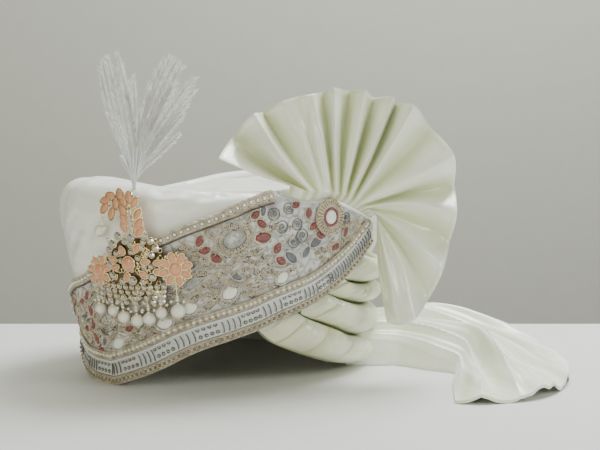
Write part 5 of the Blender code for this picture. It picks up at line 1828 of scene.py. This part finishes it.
@dataclass
class Plume:
    """Two fine feathers: strands that spread from the foot, each with long soft barbs."""

    form: HeadForm
    place: tuple[float, float] = (13.5, 1.0)
    scale: float = 0.00065
    left: Table = (
        (-35, 117, -14, 0.55), (-32, 125, -10, 0.6), (-27, 128, -4, 0.8), (-17, 133, 6, 0.7),
        (-13, 120, 8, 0.8), (-1, 110, 4, 0.6), (-16, 60, -2, 0.4), (-17, 50, -2, 0.35), (-15, 28, -2, 0.3),
    )
    right: Table = (
        (30, 124, -8, 0.8), (37, 128, -8, 0.9), (43, 124, -6, 1.0), (48, 119, -4, 1.0), (61, 107, -4, 0.9),
        (61, 95, -2, 0.9), (53, 80, 0, 0.8), (49, 70, 2, 0.7), (46, 50, 4, 0.5), (15, 103, 6, 0.35),
        (6, 76, 2, 0.3), (40, 100, 0, 1.0),
    )

    def build(self) -> None:
        """Builds the quills and the barbs of both feathers."""
        foot = self.form.place(*self.place, self.form.wrap_puff + 0.003)
        quills, barbs = [], []
        for side, rows in ((-1, self.left), (1, self.right)):
            for index, (right, up, bow, long) in enumerate(rows):
                line = self.strand(foot, right, up, bow, side * 0.0004 * (index - 2))
                quills.append(tube(line, FAN_FRONT, np.linspace(0.0006, 0.00016, len(line)), 5))
                barbs.append(self.fringe(line, long, 2.0 * index + side))
        head = Frames(foot[None], FAN_SIDE[None], UP[None], FAN_FRONT[None])
        up = Frames(foot[None], FAN_SIDE[None], -FAN_FRONT[None], UP[None])
        cup = turned(((0, -0.003), (0.0012, -0.003), (0.0016, 0.001), (0.0017, 0.006), (0.0009, 0.009),
                      (0, 0.009)), 14)
        quills.append(up.put(cup))
        quills += [self.quill(head, index) for index in range(13)]
        made = make_object("plume_quills", Patch.join(quills), Finishes.QUILL)
        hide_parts("plume")
        make_object("plume_barbs", Patch.join(barbs), Finishes.FEATHER)

    @staticmethod
    def quill(head: Frames, index: int) -> Patch:
        """One short bare quill of the bundle at the foot, which opens like a narrow cone.

        Args:
            head: the frame at the foot.
            index: its number.

        Returns:
            A closed tube.
        """
        side, depth = math.sin(2.4 * index), math.cos(2.4 * index)
        rise = np.linspace(0.0, 0.020 + 0.003 * depth, 7)
        open_ = 0.0007 + 0.30 * rise
        points = (head.origin + open_[:, None] * side * head.x + rise[:, None] * head.y
                  + 0.5 * open_[:, None] * depth * head.z)
        return tube(points, head.z[0], np.linspace(0.0007, 0.0004, 7), 5)

    def strand(self, foot: Array, right: float, up: float, bow: float, depth: float) -> Array:
        """A strand's line from the foot to its tip, bowed sideways and leaning back as it rises.

        Args:
            foot: where it starts.
            right: how far right its tip is.
            up: how far up.
            bow: how far it bows.
            depth: how far forward.

        Returns:
            Points along it.
        """
        t = np.linspace(0, 1, 44)[:, None]
        sideways = self.scale * (right * t ** 1.35 + bow * np.sin(np.pi * t) * 0.5)
        rise = self.scale * up * t
        back = 0.007 * t ** 2 - depth * t
        return foot + sideways * FAN_SIDE + rise * UP - back * FAN_FRONT

    def fringe(self, line: Array, long: float, seed: float, count: int = 90) -> Patch:
        """Barbs on both sides of a strand: thin arcs that leave it forwards and droop at their tips.

        Args:
            line: the strand.
            long: the barbs' length, as a share.
            seed: the random draws' start.
            count: barbs on a side.

        Returns:
            All barbs.
        """
        dice = np.random.default_rng(int(40 + 10 * seed))
        t = np.linspace(0.30, 0.995, count)
        where = t * (len(line) - 1)
        number = np.arange(len(line))
        base = np.stack([np.interp(where, number, line[:, c]) for c in range(3)], axis=-1)
        along = unit(np.stack([np.interp(where, number, np.gradient(line[:, c])) for c in range(3)], axis=-1))
        side = unit(np.cross(FAN_FRONT, along))
        s = np.linspace(0, 1, 7)[None, :, None]
        parts = []
        for sign in (-1.0, 1.0):
            size = 0.0135 * long * np.sin(np.pi * np.clip((t - 0.22) / 0.86, 0,
                                                          1)) ** 0.7 * dice.uniform(0.7, 1.15, count)
            open_ = dice.uniform(0.10, 0.38, count)[:, None, None]
            drift = dice.normal(0, 0.16, count)[:, None, None] * FAN_FRONT
            size = size[:, None, None]
            way = along[:, None] * (s - 0.28
                                    * s ** 2) + sign * open_ * side[:, None] * (s + 0.25 * s ** 2) + drift * s
            path = base[:, None] + size * way
            width = 0.00042 * (1 - 0.8 * s)
            ring = []
            for a in (0.0, 2.1, 4.2):
                ring.append(path + width * (math.cos(a) * FAN_FRONT + math.sin(a) * along[:, None]))
            rings = np.stack(ring, axis=2)
            parts += [capped(r, r[0].mean(axis=0), r[-1].mean(axis=0)) for r in rings]
        return Patch.join(parts)


# Stage


@dataclass
class Studio:
    """The pale table and wall, the soft lights and the camera."""

    form: HeadForm
    distance: float = 1.15
    azimuth: float = 40.0
    elevation: float = 6.0
    lens: float = 93.24
    aim: tuple[float, float, float] = (0.03530, 0.04338, 0.10033)
    lights: tuple[tuple, ...] = (
        ("key", (0.45, -0.42, 1.10), (0.02, 0.02, 0.06), 0.60, 24.0, (0.94, 0.975, 1.0)),
        ("front", (-0.60, 1.40, 0.60), (0.0, 0.0, 0.10), 1.0, 8.5, (1.0, 0.985, 0.72)),
        ("side", (1.20, 0.65, 0.70), (0.0, 0.0, 0.10), 0.5, 7.0, (0.97, 1.0, 0.92)),
        ("wall_wash", (0.0, -0.30, 1.6), (0.0, -1.0, 0.2), 1.2, 13.0, (1.0, 0.985, 0.93)),
    )
    haze: Colour = (0.88, 0.90, 0.74)
    haze_strength: float = 0.24

    def build(self) -> None:
        """Builds the table, the wall and the lights, and sets the camera."""
        target = self.form.centre + np.array(self.aim)
        azimuth, elevation = math.radians(self.azimuth), math.radians(self.elevation)
        back = np.array([math.sin(azimuth) * math.cos(elevation), -math.cos(azimuth) * math.cos(elevation),
                         math.sin(elevation)])
        self.surface("table", ((-1.9, -0.165, 0.0), (1.9, 1.8, 0.0)), Finishes.TABLE)
        self.surface("wall", ((-2.6, -1.0, -0.9), (2.6, -1.0, 2.2)), Finishes.WALL)
        for row in self.lights:
            self.light(*row)
        world = bpy.data.worlds.new("studio")
        world.use_nodes = True
        world.node_tree.nodes["Background"].inputs["Color"].default_value = (*self.haze, 1.0)
        world.node_tree.nodes["Background"].inputs["Strength"].default_value = self.haze_strength
        bpy.context.scene.world = world
        data = bpy.data.cameras.new("camera")
        data.lens = self.lens
        data.sensor_width = 36.0
        data.clip_start = 0.05
        camera = bpy.data.objects.new("camera", data)
        bpy.context.collection.objects.link(camera)
        camera.location = target + self.distance * back
        camera.rotation_euler = (math.pi / 2 - elevation, 0.0, azimuth)
        bpy.context.scene.camera = camera

    def world_point(self, right: float, forward: float, up: float) -> Array:
        """A point from its distances to the right, towards the camera and up, as the camera sees them."""
        return self.form.centre + right * FAN_SIDE + forward * FAN_FRONT + up * UP

    def surface(self, name: str, corners: tuple[tuple[float, float, float], tuple[float, float, float]],
                finish: Finishes) -> None:
        """A flat stage sheet between two opposite corners.

        Args:
            name: its name.
            corners: right, forward and up of both.
            finish: what it is made of.
        """
        (r0, f0, u0), (r1, f1, u1) = corners
        points = np.array([self.world_point(r0, f0, u0), self.world_point(r1, f0, u0),
                           self.world_point(r1, f1, u1),
                           self.world_point(r0, f1, u1)])
        mesh = bpy.data.meshes.new(name)
        faces = [(0, 3, 2, 1)] if u0 == u1 else [(0, 1, 2, 3)]
        mesh.from_pydata(points.tolist(), [], faces)
        mesh.materials.append(finish.material())
        made = bpy.data.objects.new(name, mesh)
        bpy.context.collection.objects.link(made)

    def light(self, name: str, place: tuple[float, float, float], aim: tuple[float, float, float],
              size: float,
              power: float, colour: Colour) -> None:
        """A soft square light at a place (right, forward, up), aimed at another.

        Args:
            name: its name.
            place: right, forward and up.
            aim: right, forward and up.
            size: its side.
            power: its watts.
            colour: its colour.
        """
        data = bpy.data.lights.new(name, "AREA")
        data.energy, data.size, data.color = power, size, colour
        made = bpy.data.objects.new(name, data)
        bpy.context.collection.objects.link(made)
        start, end = self.world_point(*place), self.world_point(*aim)
        z = unit(start - end)
        x = unit(np.cross(UP, z))
        y = np.cross(z, x)
        turn = np.eye(4)
        turn[:3, 0], turn[:3, 1], turn[:3, 2], turn[:3, 3] = x, y, z, start
        made.matrix_world = Matrix(turn.tolist())


def main() -> None:
    """Builds every piece over the loaded solids."""
    logging.basicConfig(level=logging.INFO, format="%(name)s: %(message)s")
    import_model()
    low, high = (np.array(corner, float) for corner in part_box("crown"))
    form = HeadForm((low + high) / 2 * np.array([1.0, 1.0, 0.0]))
    parts = (Crown(form), Wraps(form), Rolls(form), Fan(form), Tail(form), Embroidery(form), Laces(form),
             Medallion(form), Brooch(form), Plume(form))
    for part in parts:
        part.build()
    Studio(form).build()


if __name__ == "__main__":
    main()
